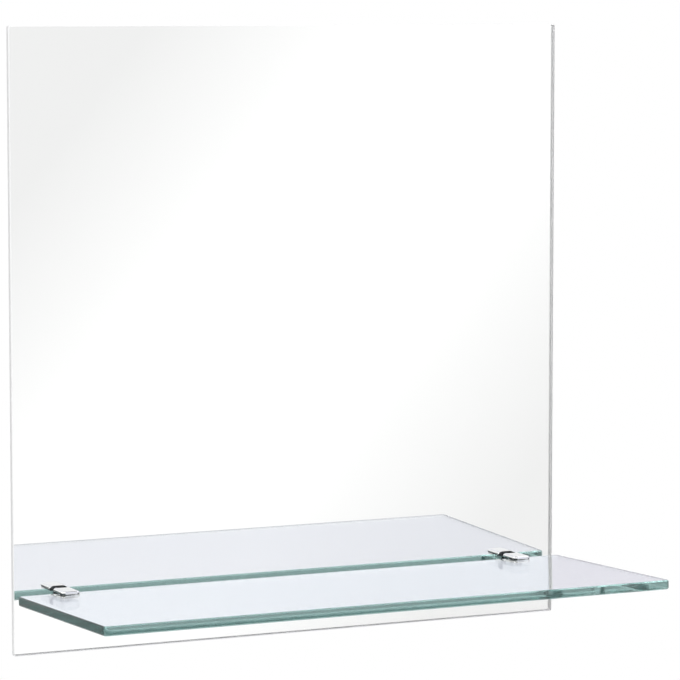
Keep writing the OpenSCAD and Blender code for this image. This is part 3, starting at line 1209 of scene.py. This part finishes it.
@dataclass
class Clamp:
    """A C-shaped clamp on the mirror, with pad, gasket, pressure foot and screw."""

    side: Side
    shelf: Shelf
    spacing: float = 325 * MM
    width: float = 12.5 * MM
    reach: float = 18 * MM
    side_r: float = 1.8 * MM
    front_r: float = 2.5 * MM
    chin_r: float = 2.3 * MM
    edge_r: float = 0.6 * MM
    back_r: float = 0.3 * MM
    neck_w: float = 7 * MM
    neck_r: float = 1.2 * MM
    slot_edge_r: float = 0.2 * MM
    slot_floor: float = -9.85 * MM
    edge_clearance: float = 0.5 * MM
    gasket_t: float = 0.8 * MM
    gasket_corner_r: float = 1.3 * MM
    gasket_edge_r: float = 0.15 * MM
    pad_inset: float = 0.2 * MM
    pad_lip: float = 1.5 * MM
    pad_base: float = 0.05 * MM
    pad_t: float = 0.8 * MM
    pad_proud: float = 0.3 * MM
    pad_corner_r: float = 0.5 * MM
    grip_depth: float = 11 * MM
    fixing_clear_r: float = 2.2 * MM
    screw_hole_r: float = 2.05 * MM
    blind_depth: float = 4.4 * MM
    foot_d: float = 8 * MM
    foot_t: float = 1.5 * MM
    foot_top: float = -6.05 * MM
    foot_top_r: float = 0.4 * MM
    soft_edge_r: float = 0.12 * MM
    seat_r: float = 1.3 * MM
    seat_depth: float = 0.8 * MM
    screw_l: float = 8 * MM
    screw_gap: float = 0.05 * MM
    tip_r: float = 1.25 * MM
    tip_l: float = 0.75 * MM
    tip_edge_r: float = 0.15 * MM
    socket_w: float = 2 * MM
    socket_depth: float = 2.2 * MM
    body: str = Body.MIRROR.value

    @property
    def x(self) -> float:
        """The clamp's middle."""
        return self.side.value * self.spacing / 2

    @property
    def screw_axis(self) -> Matrix:
        """Frame of the clamp screw: Z square to the shelf, origin in its upper face."""
        return self.shelf.plane @ Matrix.Translation((self.x, -self.grip_depth / 2, 0.0))

    @property
    def slot_roof(self) -> float:
        """Underside of the upper jaw behind its lip, above the shelf's plane."""
        return self.pad_base + self.pad_t

    @property
    def fixing_z(self) -> float:
        """Height of the fixing screw's axis."""
        return middle_of(f"fixing_washer_{self.side.word}")[2]

    def build(self, finishes: Finishes) -> None:
        """Models the clamp and all that belongs to it.

        Args:
            finishes: Every finish of the object.
        """
        self._body(finishes.chrome)
        self._pad(finishes.black_rubber)
        self._gasket(finishes.black_rubber)
        self._foot(finishes.nylon)
        self._screw(finishes.steel)

    def _body(self, finish: Material) -> None:
        """Models the casting: a rounded block with a slot for the shelf and two holes.

        Args:
            finish: Its material.
        """
        low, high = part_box(f"clamp_body_{self.side.word}")
        body = add_block(self.side.fine("clamp_body"), low, high)
        bevel(body, each(along(Axis.Z), at(Axis.Y, low.y)), self.front_r, segments=10)
        upper_rim = (self.side_r, self.edge_r, 0.0)
        lower_rim = (self.side_r, self.chin_r, 0.0)
        round_rims(body, {high.z: upper_rim, low.z: lower_rim})
        bevel(body, at(Axis.Y, high.y), self.back_r, segments=3)
        under_lip = (-2 * self.reach, self.pad_base + self.pad_proud)
        behind_lip = (self.pad_lip - self.grip_depth, self.slot_roof)
        for front, roof in (under_lip, behind_lip):
            slot = add_block(
                "slot",
                (self.x - self.width, front, self.slot_floor),
                (self.x + self.width, self.edge_clearance, roof),
            )
            cut(body, settle(slot, self.shelf.plane))
        self._cut_neck(body, self.slot_roof)
        ease(body, self.slot_edge_r, angle=50.0)
        drill(body, self.screw_hole_r, (2 * self.slot_floor, self.slot_floor + PAST), self.screw_axis)
        back = to_front((self.x, high.y, self.fixing_z))
        drill(body, self.screw_hole_r, (-PAST, self.blind_depth), back, sides=32)
        smooth(body, angle=30.0)
        hand_over(body, self.body, finish)

    def _cut_neck(self, piece: Piece, roof: float) -> None:
        """Cuts the room on both sides of the neck, level with the slot.

        Args:
            piece: The piece to cut.
            roof: The room's top above the shelf's plane.
        """
        for end in (-1, 1):
            inner = self.x + end * self.neck_w / 2
            xs = sorted((inner, inner + end * self.width))
            room = add_block(
                "room", (xs[0], -2 * self.reach, self.slot_floor), (xs[1], 2 * self.reach, roof)
            )
            bevel(room, each(along(Axis.Y), at(Axis.X, inner)), self.neck_r, segments=6)
            cut(piece, settle(room, self.shelf.plane))

    def _pad(self, finish: Material) -> None:
        """Models the rubber pad under the upper jaw, open where the neck stands.

        Args:
            finish: Its material.
        """
        half = self.width / 2 - self.pad_inset
        front = self.pad_lip - self.grip_depth
        back = self.reach - self.grip_depth - self.gasket_t - self.pad_inset
        pad = add_block(
            self.side.fine("clamp_pad"),
            (self.x - half, front, self.pad_base),
            (self.x + half, back, self.slot_roof),
        )
        bevel(pad, along(Axis.Z), self.pad_corner_r, segments=6)
        opening = self.neck_w / 2 + self.neck_r
        room = add_block(
            "room",
            (self.x - opening, self.edge_clearance, -self.reach),
            (self.x + opening, self.reach, self.reach),
        )
        cut(pad, room)
        ease(pad, self.soft_edge_r, segments=3)
        settle(pad, self.shelf.plane)
        smooth(pad)
        hand_over(pad, self.body, finish)

    def _gasket(self, finish: Material) -> None:
        """Models the rubber gasket between clamp and mirror.

        Args:
            finish: Its material.
        """
        low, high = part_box(f"clamp_gasket_{self.side.word}")
        gasket = add_block(self.side.fine("clamp_gasket"), low, high)
        bevel(gasket, along(Axis.Y), self.gasket_corner_r, segments=8)
        self._cut_neck(gasket, self.pad_base)
        front = to_front((self.x, low.y, self.fixing_z))
        drill(gasket, self.fixing_clear_r, (-self.reach, self.reach), front)
        ease(gasket, self.gasket_edge_r, segments=3)
        smooth(gasket)
        hand_over(gasket, self.body, finish)

    def _foot(self, finish: Material) -> None:
        """Models the pressure foot with its seat for the screw's tip.

        Args:
            finish: Its material.
        """
        bottom = self.foot_top - self.foot_t
        foot = add_rod(self.side.fine("pressure_foot"), self.foot_d / 2, bottom, self.foot_top)
        bevel(foot, at(Axis.Z, self.foot_top), self.foot_top_r, segments=5)
        drill(foot, self.seat_r, (2 * bottom, bottom + self.seat_depth), sides=32)
        ease(foot, self.soft_edge_r, angle=50.0)
        settle(foot, self.screw_axis)
        smooth(foot)
        hand_over(foot, f"{self.side.word}_foot", finish)

    def _screw(self, finish: Material) -> None:
        """Models the clamp screw: thread, dog tip and hex socket.

        Args:
            finish: Its material.
        """
        top = self.foot_top - self.foot_t - self.screw_gap
        bottom = top - self.screw_l
        thread = Thread()
        screw = thread.rod(self.side.fine("clamp_screw"), bottom, top)
        with EditMode(screw, Element.FACE) as edit:
            edit.choose(lambda face: faces_up(face) and near(face.calc_center_median().z, top))
            bpy.ops.mesh.inset(thickness=thread.root_r - self.tip_r)
            extrude(z=self.tip_l)
        bevel(screw, at(Axis.Z, top + self.tip_l), self.tip_edge_r, segments=2)
        socket_r = self.socket_w / 2 / math.cos(math.radians(30))
        drill(screw, socket_r, (bottom - PAST, bottom + self.socket_depth), sides=6)
        settle(screw, self.screw_axis)
        smooth(screw, angle=25.0)
        hand_over(screw, f"{self.side.word}_screw", finish)


@dataclass
class ClampFixing:
    """What holds one clamp from behind the mirror: bush, washer and screw."""

    side: Side
    head_r: float = 4 * MM
    head_h: float = 2.4 * MM
    head_edge_r: float = 0.12 * MM
    crown_rings: int = 6
    shank_l: float = 10 * MM
    shank_in_head: float = 0.2 * MM
    recess_w: float = 1 * MM
    recess_depth: float = 1.32 * MM
    recess_taper: Span = (0.62, 0.7)
    flange_r: float = 7 * MM
    flange_t: float = 1 * MM
    flange_edge_r: float = 0.2 * MM
    sleeve_r: float = 3.05 * MM
    sleeve_l: float = 4 * MM
    bush_edge_r: float = 0.12 * MM
    clear_r: float = 2.2 * MM
    hole_step: float = 0.5 * MM
    washer_r: float = 4.5 * MM
    washer_t: float = 0.8 * MM
    washer_edge_r: float = 0.18 * MM
    washer_burr_r: float = 0.05 * MM
    body: str = Body.MIRROR.value

    def build(self, finishes: Finishes) -> None:
        """Models the three pieces.

        Args:
            finishes: Every finish of the object.
        """
        washer = f"fixing_washer_{self.side.word}"
        low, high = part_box(washer)
        x, _, z = middle_of(washer)
        self._washer(to_front((x, high.y, z)), finishes.zinc)
        self._screw(to_wall((x, high.y, z)), finishes.zinc)
        self._bush(to_front((x, low.y, z)), finishes.nylon)

    def _washer(self, place: Matrix, finish: Material) -> None:
        """Models the washer, rounder on the side that the punch entered.

        Args:
            place: Where its local frame goes.
            finish: Its material.
        """
        washer = add_rod(self.side.fine("fixing_washer"), self.washer_r, 0.0, self.washer_t)
        drill(washer, self.clear_r, (-self.washer_t, 2 * self.washer_t), sides=48)
        bevel(washer, at(Axis.Z, 0.0), self.washer_edge_r, segments=3)
        ease(washer, self.washer_burr_r, segments=1, angle=50.0)
        settle(washer, place)
        smooth(washer)
        hand_over(washer, self.body, finish)

    def _bush(self, place: Matrix, finish: Material) -> None:
        """Models the flanged bush that keeps the screw off the glass.

        Args:
            place: Where its local frame goes.
            finish: Its material.
        """
        bush = add_rod(self.side.fine("mirror_bush"), self.flange_r, 0.0, self.flange_t)
        with EditMode(bush, Element.FACE) as edit:
            edit.choose(faces_up)
            bpy.ops.mesh.inset(thickness=self.flange_r - self.sleeve_r)
            extrude(z=self.sleeve_l)
        drill(bush, self.clear_r, (-2 * self.flange_r, 2 * self.flange_r), sides=48)
        rim = each(at(Axis.Z, 0.0), lambda edge: edge.calc_length() > self.hole_step)
        bevel(bush, rim, self.flange_edge_r, segments=3)
        ease(bush, self.bush_edge_r, angle=50.0)
        settle(bush, place)
        smooth(bush)
        hand_over(bush, self.body, finish)

    def _screw(self, place: Matrix, finish: Material) -> None:
        """Models the pan-head screw with its cross recess.

        Args:
            place: Where its local frame goes.
            finish: Its material.
        """
        head = add_rod(self.side.fine("fixing_screw"), self.head_r, 0.0, self.head_h, sides=56)
        with EditMode(head, Element.FACE) as edit:
            edit.choose(faces_up)
            for _ in range(self.crown_rings):
                bpy.ops.mesh.inset(thickness=self.head_r / (self.crown_rings + 1))
        crown_r = 2 * self.head_r
        for vertex in head.data.vertices:
            if vertex.co.z > self.head_h / 2:
                out = math.hypot(vertex.co.x, vertex.co.y)
                vertex.co.z = self.head_h - crown_r + math.sqrt(crown_r**2 - out**2)
        for turn in (0.0, 90.0):
            cut(head, settle(self._recess_wing(), Matrix.Rotation(math.radians(turn), 4, "Z")))
        ease(head, self.head_edge_r, segments=3, angle=40.0)
        shank = Thread().rod("shank", -self.shank_l, self.shank_in_head)
        screw = join([head, shank])
        settle(screw, place)
        smooth(screw, angle=30.0)
        hand_over(screw, self.body, finish)

    def _recess_wing(self) -> Piece:
        """Models one arm pair of the cross recess, narrower towards its floor.

        Returns:
            The shape to cut out of the head.
        """
        half_l, half_w = self.head_r / 2, self.recess_w / 2
        floor = self.head_h - self.recess_depth
        wing = add_block("wing", (-half_l, -half_w, floor), (half_l, half_w, self.head_h + PAST))
        for vertex in wing.data.vertices:
            if near(vertex.co.z, floor):
                vertex.co.x *= self.recess_taper[0]
                vertex.co.y *= self.recess_taper[1]
        return wing


# ---- Hangers and spacers ----


@dataclass
class Hanger:
    """A bent keyhole plate with its two strips of foam tape."""

    side: Side
    spacing: float = 240 * MM
    width: float = 70 * MM
    height: float = 50 * MM
    foot: float = 20 * MM
    bridge_w: float = 40 * MM
    sheet_t: float = 1.5 * MM
    sheet_edge_r: float = 0.15 * MM
    bend_r: float = 1 * MM
    corner_r: float = 4 * MM
    flange_front: float = 6.5 * MM
    tape_t: float = 1 * MM
    tape_inset: float = 0.5 * MM
    tape_edge_r: float = 0.22 * MM
    keyhole_d: float = 10 * MM
    slot_w: float = 5 * MM
    rise: float = 12 * MM
    body: str = Body.MIRROR.value

    @property
    def place(self) -> Matrix:
        """The entry hole's centre, on the wall."""
        return Matrix.Translation((self.side.value * self.spacing / 2, 0.0, 0.0))

    def build(self, finishes: Finishes) -> None:
        """Models the plate and its tape."""
        self._plate(finishes.sheet)
        self._tape(finishes.foam)

    def _plate(self, finish: Material) -> None:
        """Bends the sheet from a flat strip, thickens it and punches the keyhole.

        Args:
            finish: Its material.
        """
        plane = bpy.ops.mesh.primitive_plane_add
        upright = (math.radians(90), 0.0, 0.0)
        plate = add(self.side.fine("hanger_plate"), plane, size=1.0, rotation=upright)
        top = self.height - self.foot
        half = self.bridge_w / 2
        for vertex in plate.data.vertices:
            vertex.co = (math.copysign(half, vertex.co.x), 0.0, top if vertex.co.z > 0 else -self.foot)
        drop = self.flange_front - self.sheet_t
        flange = (self.width - self.bridge_w) / 2
        for end in (-1, 1):
            with EditMode(plate) as edit:
                edit.choose(each(at(Axis.X, end * half), at(Axis.Y, 0.0)))
                extrude(y=-drop)
                extrude(x=end * flange)
        corners = self.width / 2
        with EditMode(plate, Element.VERTEX) as edit:
            edit.choose(lambda vert: near(abs(vert.co.x), corners))
            bpy.ops.mesh.bevel(offset_type="OFFSET", offset=self.corner_r, segments=10, affect="VERTICES")
        for y, radius, steps in ((0.0, self.bend_r + self.sheet_t, 8), (-drop, self.bend_r, 6)):
            bevel(plate, each(along(Axis.Z), at(Axis.X, -half, half), at(Axis.Y, y)), radius, steps)
        self._turn_back(plate)
        apply_modifier(plate, "SOLIDIFY", thickness=self.sheet_t, offset=-1.0, use_even_offset=True)
        self._punch(plate)
        ease(plate, self.sheet_edge_r, angle=40.0)
        settle(plate, self.place)
        smooth(plate, angle=30.0)
        hand_over(plate, self.body, finish)

    @staticmethod
    def _turn_back(plate: Piece) -> None:
        """Turns the faces of the open sheet to the wall.

        Args:
            plate: The sheet, before it has its thickness.
        """
        with EditMode(plate, Element.FACE):
            bpy.ops.mesh.select_all(action="SELECT")
            bpy.ops.mesh.normals_make_consistent(inside=False)
        if sum(polygon.normal.y * polygon.area for polygon in plate.data.polygons) < 0:
            with EditMode(plate, Element.FACE):
                bpy.ops.mesh.select_all(action="SELECT")
                bpy.ops.mesh.flip_normals()

    def _punch(self, plate: Piece) -> None:
        """Punches the keyhole: entry hole, slot and its round closed end.

        Args:
            plate: The bent plate.
        """
        through = 2 * self.sheet_t
        half = self.slot_w / 2
        cut(plate, add_block("punch", (-half, -through, 0.0), (half, through, self.rise)))
        for height, radius in ((0.0, self.keyhole_d / 2), (self.rise, half)):
            drill(plate, radius, (-through, through), to_wall((0.0, 0.0, height)), sides=56)

    def _tape(self, finish: Material) -> None:
        """Models the strips, die-cut with soft edges.

        Args:
            finish: Its material.
        """
        inner = self.bridge_w / 2 + self.bend_r
        outer = self.width / 2 - self.tape_inset
        front = -self.flange_front - self.tape_t
        low_z, high_z = self.tape_inset - self.foot, self.height - self.foot - self.tape_inset
        strips = []
        for end in (-1, 1):
            xs = sorted((end * inner, end * outer))
            strip = add_block("strip", (xs[0], front, low_z), (xs[1], -self.flange_front, high_z))
            outer_corners = each(along(Axis.Y), at(Axis.X, end * outer))
            bevel(strip, outer_corners, self.corner_r - self.tape_inset, segments=8)
            ease(strip, self.tape_edge_r, segments=3)
            strips.append(strip)
        tape = join(strips)
        tape.name = tape.data.name = self.side.fine("hanger_tape")
        settle(tape, self.place)
        smooth(tape)
        hand_over(tape, self.body, finish)


@dataclass
class Spacer:
    """A rubber spacer with a grooved face, on its adhesive disc."""

    side: Side
    radius: float = 9 * MM
    height: float = 7 * MM
    edge_r: float = 1.2 * MM
    lands: Span = (2.4 * MM, 1.6 * MM)
    groove_w: float = 0.9 * MM
    groove_depth: float = 0.35 * MM
    groove_flank: float = 0.1 * MM
    flash_w: float = 0.12 * MM
    flash_h: float = 0.06 * MM
    tape_r: float = 8.5 * MM
    tape_t: float = 0.5 * MM
    tape_edge_r: float = 0.1 * MM
    body: str = Body.MIRROR.value

    def build(self, finishes: Finishes) -> None:
        """Models the spacer and the disc.

        Args:
            finishes: Every finish of the object.
        """
        x, _, z = middle_of(f"wall_spacer_{self.side.word}")
        place = to_front((x, 0.0, z))
        self._spacer(place, finishes.grey_rubber)
        self._disc(place, finishes.foam)

    def _spacer(self, place: Matrix, finish: Material) -> None:
        """Models the spacer: rounded rim, two ring grooves and the mould's parting line.

        Args:
            place: Where its local frame goes.
            finish: Its material.
        """
        spacer = add_rod(self.side.fine("wall_spacer"), self.radius, 0.0, self.height, sides=72)
        with EditMode(spacer, Element.FACE) as edit:
            edit.choose(faces_down)
            for land in self.lands:
                bpy.ops.mesh.inset(thickness=land)
                bpy.ops.mesh.inset(thickness=self.groove_flank, depth=-self.groove_depth)
                bpy.ops.mesh.inset(thickness=self.groove_w)
                bpy.ops.mesh.inset(thickness=self.groove_flank, depth=self.groove_depth)

        def outside(edge: Edge) -> bool:
            """Says whether an edge starts on the spacer's outside."""
            return near(edge.verts[0].co.xy.length, self.radius, 1e-5)

        bevel(spacer, each(at(Axis.Z, 0.0), outside), self.edge_r, segments=6)
        with EditMode(spacer) as edit:
            edit.choose(each(along(Axis.Z), lambda edge: edge.calc_length() > self.height / 2))
            bpy.ops.mesh.subdivide(number_cuts=1)
        middle = (self.height + self.edge_r) / 2
        bevel(spacer, each(at(Axis.Z, middle), outside), self.flash_w, segments=2)
        for vertex in spacer.data.vertices:
            if near(vertex.co.z, middle, 0.02 * MM):
                vertex.co.xy *= 1.0 + self.flash_h / self.radius
        settle(spacer, place)
        smooth(spacer, angle=50.0)
        hand_over(spacer, self.body, finish)

    def _disc(self, place: Matrix, finish: Material) -> None:
        """Models the adhesive disc under the spacer.

        Args:
            place: Where its local frame goes.
            finish: Its material.
        """
        name = self.side.fine("spacer_tape")
        disc = add_rod(name, self.tape_r, self.height, self.height + self.tape_t, sides=72)
        ease(disc, self.tape_edge_r)
        settle(disc, place)
        smooth(disc)
        hand_over(disc, self.body, finish)


# ---- Studio ----


@dataclass
class Camera:
    """The camera, where the outlines of mirror, shelf and reflection put it."""

    place: Triple = (-938.15 * MM, -2059.67 * MM, 75.03 * MM)
    yaw: float = math.radians(25.406)
    pitch: float = math.radians(-5.594)
    focal_length_mm: float = 182.97
    sensor_mm: float = 36.0
    clip_start: float = 0.05

    def build(self) -> None:
        """Adds the camera and makes it the scene's."""
        data = bpy.data.cameras.new("camera")
        data.lens = self.focal_length_mm
        data.sensor_width = self.sensor_mm
        data.clip_start = self.clip_start
        camera = bpy.data.objects.new("camera", data)
        turn = Matrix.Rotation(-self.yaw, 4, "Z") @ Matrix.Rotation(math.radians(90) + self.pitch, 4, "X")
        camera.matrix_world = Matrix.Translation(self.place) @ turn
        bpy.context.scene.collection.objects.link(camera)
        bpy.context.scene.camera = camera


@dataclass(frozen=True)
class Lamp:
    """A soft square lamp that is aimed at the object."""

    name: str
    place: Triple
    size: float
    watts: float
    target: Triple = (0.0, 0.0, -0.15)

    def build(self) -> None:
        """Adds the lamp."""
        data = bpy.data.lights.new(self.name, "AREA")
        data.size = self.size
        data.energy = self.watts
        lamp = bpy.data.objects.new(self.name, data)
        lamp.location = self.place
        aim = Vector(self.target) - Vector(self.place)
        lamp.rotation_euler = aim.to_track_quat("-Z", "Y").to_euler()
        bpy.context.scene.collection.objects.link(lamp)


@dataclass(frozen=True)
class Room:
    """Painted reflections: the studio round the object as glass and chrome show it, while the camera sees
    plain white.

    It depends on a ray's direction and on how often the ray has been reflected, which paints shade into
    some reflections and highlights into others. A Span holds the two values of the direction's X, Y or Z
    between which one tone gives way to another.
    """

    to_back: Span = (-0.2, 0.2)
    to_right: Span = (-0.15, 0.1)
    horizon: Span = (0.02, 0.07)
    # The sky tints are a painted reflection: only glass and chrome show them.
    low_sky: Colour = (0.92, 0.95, 1.05)
    low_sky_top: Span = (0.12, 0.17)
    front_sky: Colour = (0.84, 0.835, 0.94)
    back_sky: Colour = (0.76, 0.736, 0.838)
    # Painted highlight strip, seen only in reflections.
    strip_grey: float = 0.98
    strip_foot: Span = (0.12, 0.14)
    strip_top: Span = (0.178, 0.19)
    strip_left: Span = (0.1, 0.3)
    # Painted shade at the zenith, seen only in reflections.
    zenith_grey: float = 0.4
    zenith_foot: Span = (0.55, 0.8)
    # Painted shade in reflections: these two greys are shown only to rays reflected once.
    back_low_grey: float = 0.7
    back_left_grey: float = 0.5
    # Painted dark reflection in the camera's direction, shown only to rays reflected twice.
    camera_grey: float = 0.12
    camera_left: Span = (-0.30, -0.18)
    camera_foot: Span = (-0.05, 0.0)
    camera_top: Span = (0.20, 0.26)
    # Painted shade below deep_foot and a painted highlight above it, shown only to rays reflected three
    # times or more.
    deep_low_grey: float = 0.53
    deep_high_grey: float = 1.15
    deep_foot: Span = (0.2, 0.35)
    # Painted reflection of a panel, lighter between two slanting soft edges.
    panel_foot: Span = (-0.3, -0.2)
    panel_across: Triple = (0.69754, 0.39605, -0.59714)
    panel_start: Span = (-0.0984, -0.0515)
    panel_end: Span = (0.0162, 0.0683)
    panel_white: float = 1.06
    panel_grey: float = 0.90

    def colour(self, graph: Graph, path: Node) -> Socket:
        """Builds the colour of the room's painted reflections.

        Args:
            graph: The world's graph.
            path: Its Light Path node.

        Returns:
            The colour in a ray's direction.
        """
        way = graph.add("TexCoord").outputs["Generated"]
        x, y, z = graph.add("SeparateXYZ", {"Vector": way}).outputs
        # How often a ray has been reflected, which chooses the painted shade and highlights below.
        once, twice, often = (
            graph.maths("GREATER_THAN", path.outputs["Glossy Depth"], count - 0.5) for count in (1, 2, 3)
        )
        back = graph.ramp(y, self.to_back)
        front = graph.maths("SUBTRACT", 1.0, back)
        sky = graph.mix(back, self._front_sky(graph, x, z), rgba(self.back_sky))
        lower_front = graph.mix(graph.ramp(z, self.panel_foot), WHITE, self._panel(graph, way))
        # Rays reflected once see painted shade low behind the object.
        lower_back = graph.mix(once, WHITE, grey(self.back_low_grey))
        lower = graph.mix(back, lower_front, lower_back)
        room = graph.mix(graph.ramp(z, self.horizon), lower, sky)
        # Rays reflected once see painted shade to the back left.
        back_left = graph.product(graph.fall(x, self.to_right), back, once)
        room = graph.mix(back_left, room, grey(self.back_left_grey))
        # Rays reflected three times or more see painted shade low down and a painted highlight higher up.
        deep_ends = grey(self.deep_low_grey), grey(self.deep_high_grey)
        room = graph.mix(often, room, graph.mix(graph.ramp(z, self.deep_foot), *deep_ends))
        # Painted dark reflection: a dark patch in the camera's direction that only twice-reflected rays
        # see, painting dark strips on the edges and sides that reflect it.
        camera_height = graph.product(graph.fall(z, self.camera_top), graph.ramp(z, self.camera_foot))
        by_camera = graph.product(graph.fall(x, self.camera_left), front, camera_height, twice)
        return graph.mix(by_camera, room, grey(self.camera_grey))

    def _front_sky(self, graph: Graph, x: Socket, z: Socket) -> Socket:
        """The upper half in front of the mirror, as reflections show it: blue-grey, with a painted
        highlight strip and painted shade at the zenith.

        Args:
            graph: The world's graph.
            x: X of the ray's direction.
            z: Z of the ray's direction.

        Returns:
            Its colour.
        """
        sky = graph.mix(graph.ramp(z, self.low_sky_top), rgba(self.low_sky), rgba(self.front_sky))
        strip_end = graph.maths("MAXIMUM", graph.fall(z, self.strip_top), graph.fall(x, self.strip_left))
        strip = graph.product(graph.ramp(z, self.strip_foot), strip_end)
        sky = graph.mix(strip, sky, grey(self.strip_grey))
        return graph.mix(graph.ramp(z, self.zenith_foot), sky, grey(self.zenith_grey))

    def _panel(self, graph: Graph, way: Socket) -> Socket:
        """A painted reflection of a white studio panel opposite the mirror, greyer beyond two slanting
        soft edges.

        Args:
            graph: The world's graph.
            way: The ray's direction.

        Returns:
            Its colour.
        """
        across = graph.add("VectorMath", {0: way, 1: self.panel_across}, operation="DOT_PRODUCT")
        place = across.outputs["Value"]
        white = graph.product(graph.ramp(place, self.panel_start), graph.fall(place, self.panel_end))
        return graph.mix(white, grey(self.panel_grey), grey(self.panel_white))


@dataclass
class Studio:
    """Plain pale floor, soft lamps and the painted reflections that glass and chrome show."""

    # room: the painted reflections that glass and chrome show
    room: Room = field(default_factory=Room)
    lamps: tuple[Lamp, ...] = (
        Lamp("key", (-1.3, -1.7, 1.7), 1.2, 16.0),
        Lamp("fill", (1.6, -1.3, 1.5), 1.2, 6.0),
        Lamp("rear", (0.9, 1.9, 1.5), 1.4, 14.0),
    )
    floor_z: float = -1.45
    floor_size: float = 5.0
    floor_grey: float = 0.82
    floor_glow: float = 0.02
    ambient: float = 0.98
    most_bounces: int = 48
    most_in_glass: int = 40
    most_clear: int = 16

    def build(self) -> None:
        """Builds the world, the floor and the lamps."""
        scene = bpy.context.scene
        scene.view_settings.view_transform = "Standard"
        scene.cycles.max_bounces = self.most_bounces
        scene.cycles.glossy_bounces = self.most_in_glass
        scene.cycles.transmission_bounces = self.most_in_glass
        scene.cycles.transparent_max_bounces = self.most_clear
        self._world(scene)
        self._floor()
        for lamp in self.lamps:
            lamp.build()

    @staticmethod
    def _shown(graph: Graph, path: Node) -> Socket:
        """Says whether the camera, a reflection or a view through glass looks, and not a lamp's light."""
        seen = graph.maths("MAXIMUM", path.outputs["Is Camera Ray"], path.outputs["Is Glossy Ray"])
        return graph.maths("MAXIMUM", seen, path.outputs["Is Transmission Ray"])

    def _world(self, scene: bpy.types.Scene) -> None:
        """White to the camera, plain light on surfaces, and the room's painted reflections in glass and
        chrome.

        Args:
            scene: The scene that it is made for.
        """
        world = bpy.data.worlds.new("studio")
        scene.world = world
        world.use_nodes = True
        graph = Graph(world.node_tree)
        path = graph.add("LightPath")
        seen = graph.mix(path.outputs["Is Camera Ray"], self.room.colour(graph, path), WHITE)
        shine = graph.add("Background", {"Color": seen, "Strength": 1.0})
        light = graph.add("Background", {"Color": WHITE, "Strength": self.ambient})
        ends = {1: light.outputs[0], 2: shine.outputs[0]}
        both = graph.add("MixShader", {0: self._shown(graph, path), **ends})
        graph.add("OutputWorld", {"Surface": both.outputs[0]})

    def _floor(self) -> None:
        """A pale floor below the object."""
        plane = bpy.ops.mesh.primitive_plane_add
        floor = add("floor", plane, size=self.floor_size, location=(0.0, 0.0, self.floor_z))
        paint = Paint("floor", Base_Color=grey(self.floor_grey), Roughness=0.7)
        graph = paint.graph
        strength = graph.product(self._shown(graph, graph.add("LightPath")), self.floor_glow)
        glow = graph.add("Emission", {"Color": WHITE, "Strength": strength})
        both = graph.add("AddShader", {0: paint.shader.outputs[0], 1: glow.outputs[0]})
        graph.join(both.outputs[0], paint.output.inputs["Surface"])
        floor.data.materials.append(paint.material)


def main() -> None:
    """Builds each sub-assembly and then the studio."""
    logging.basicConfig(level=logging.INFO, format="%(message)s")
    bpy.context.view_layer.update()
    Camera().build()
    finishes = Finishes()
    Mirror().build(finishes)
    shelf = Shelf()
    shelf.build(finishes)
    for side in Side:
        Clamp(side, shelf).build(finishes)
        ClampFixing(side).build(finishes)
        Hanger(side).build(finishes)
        Spacer(side).build(finishes)
    Studio().build()


if __name__ == "__main__":
    main()
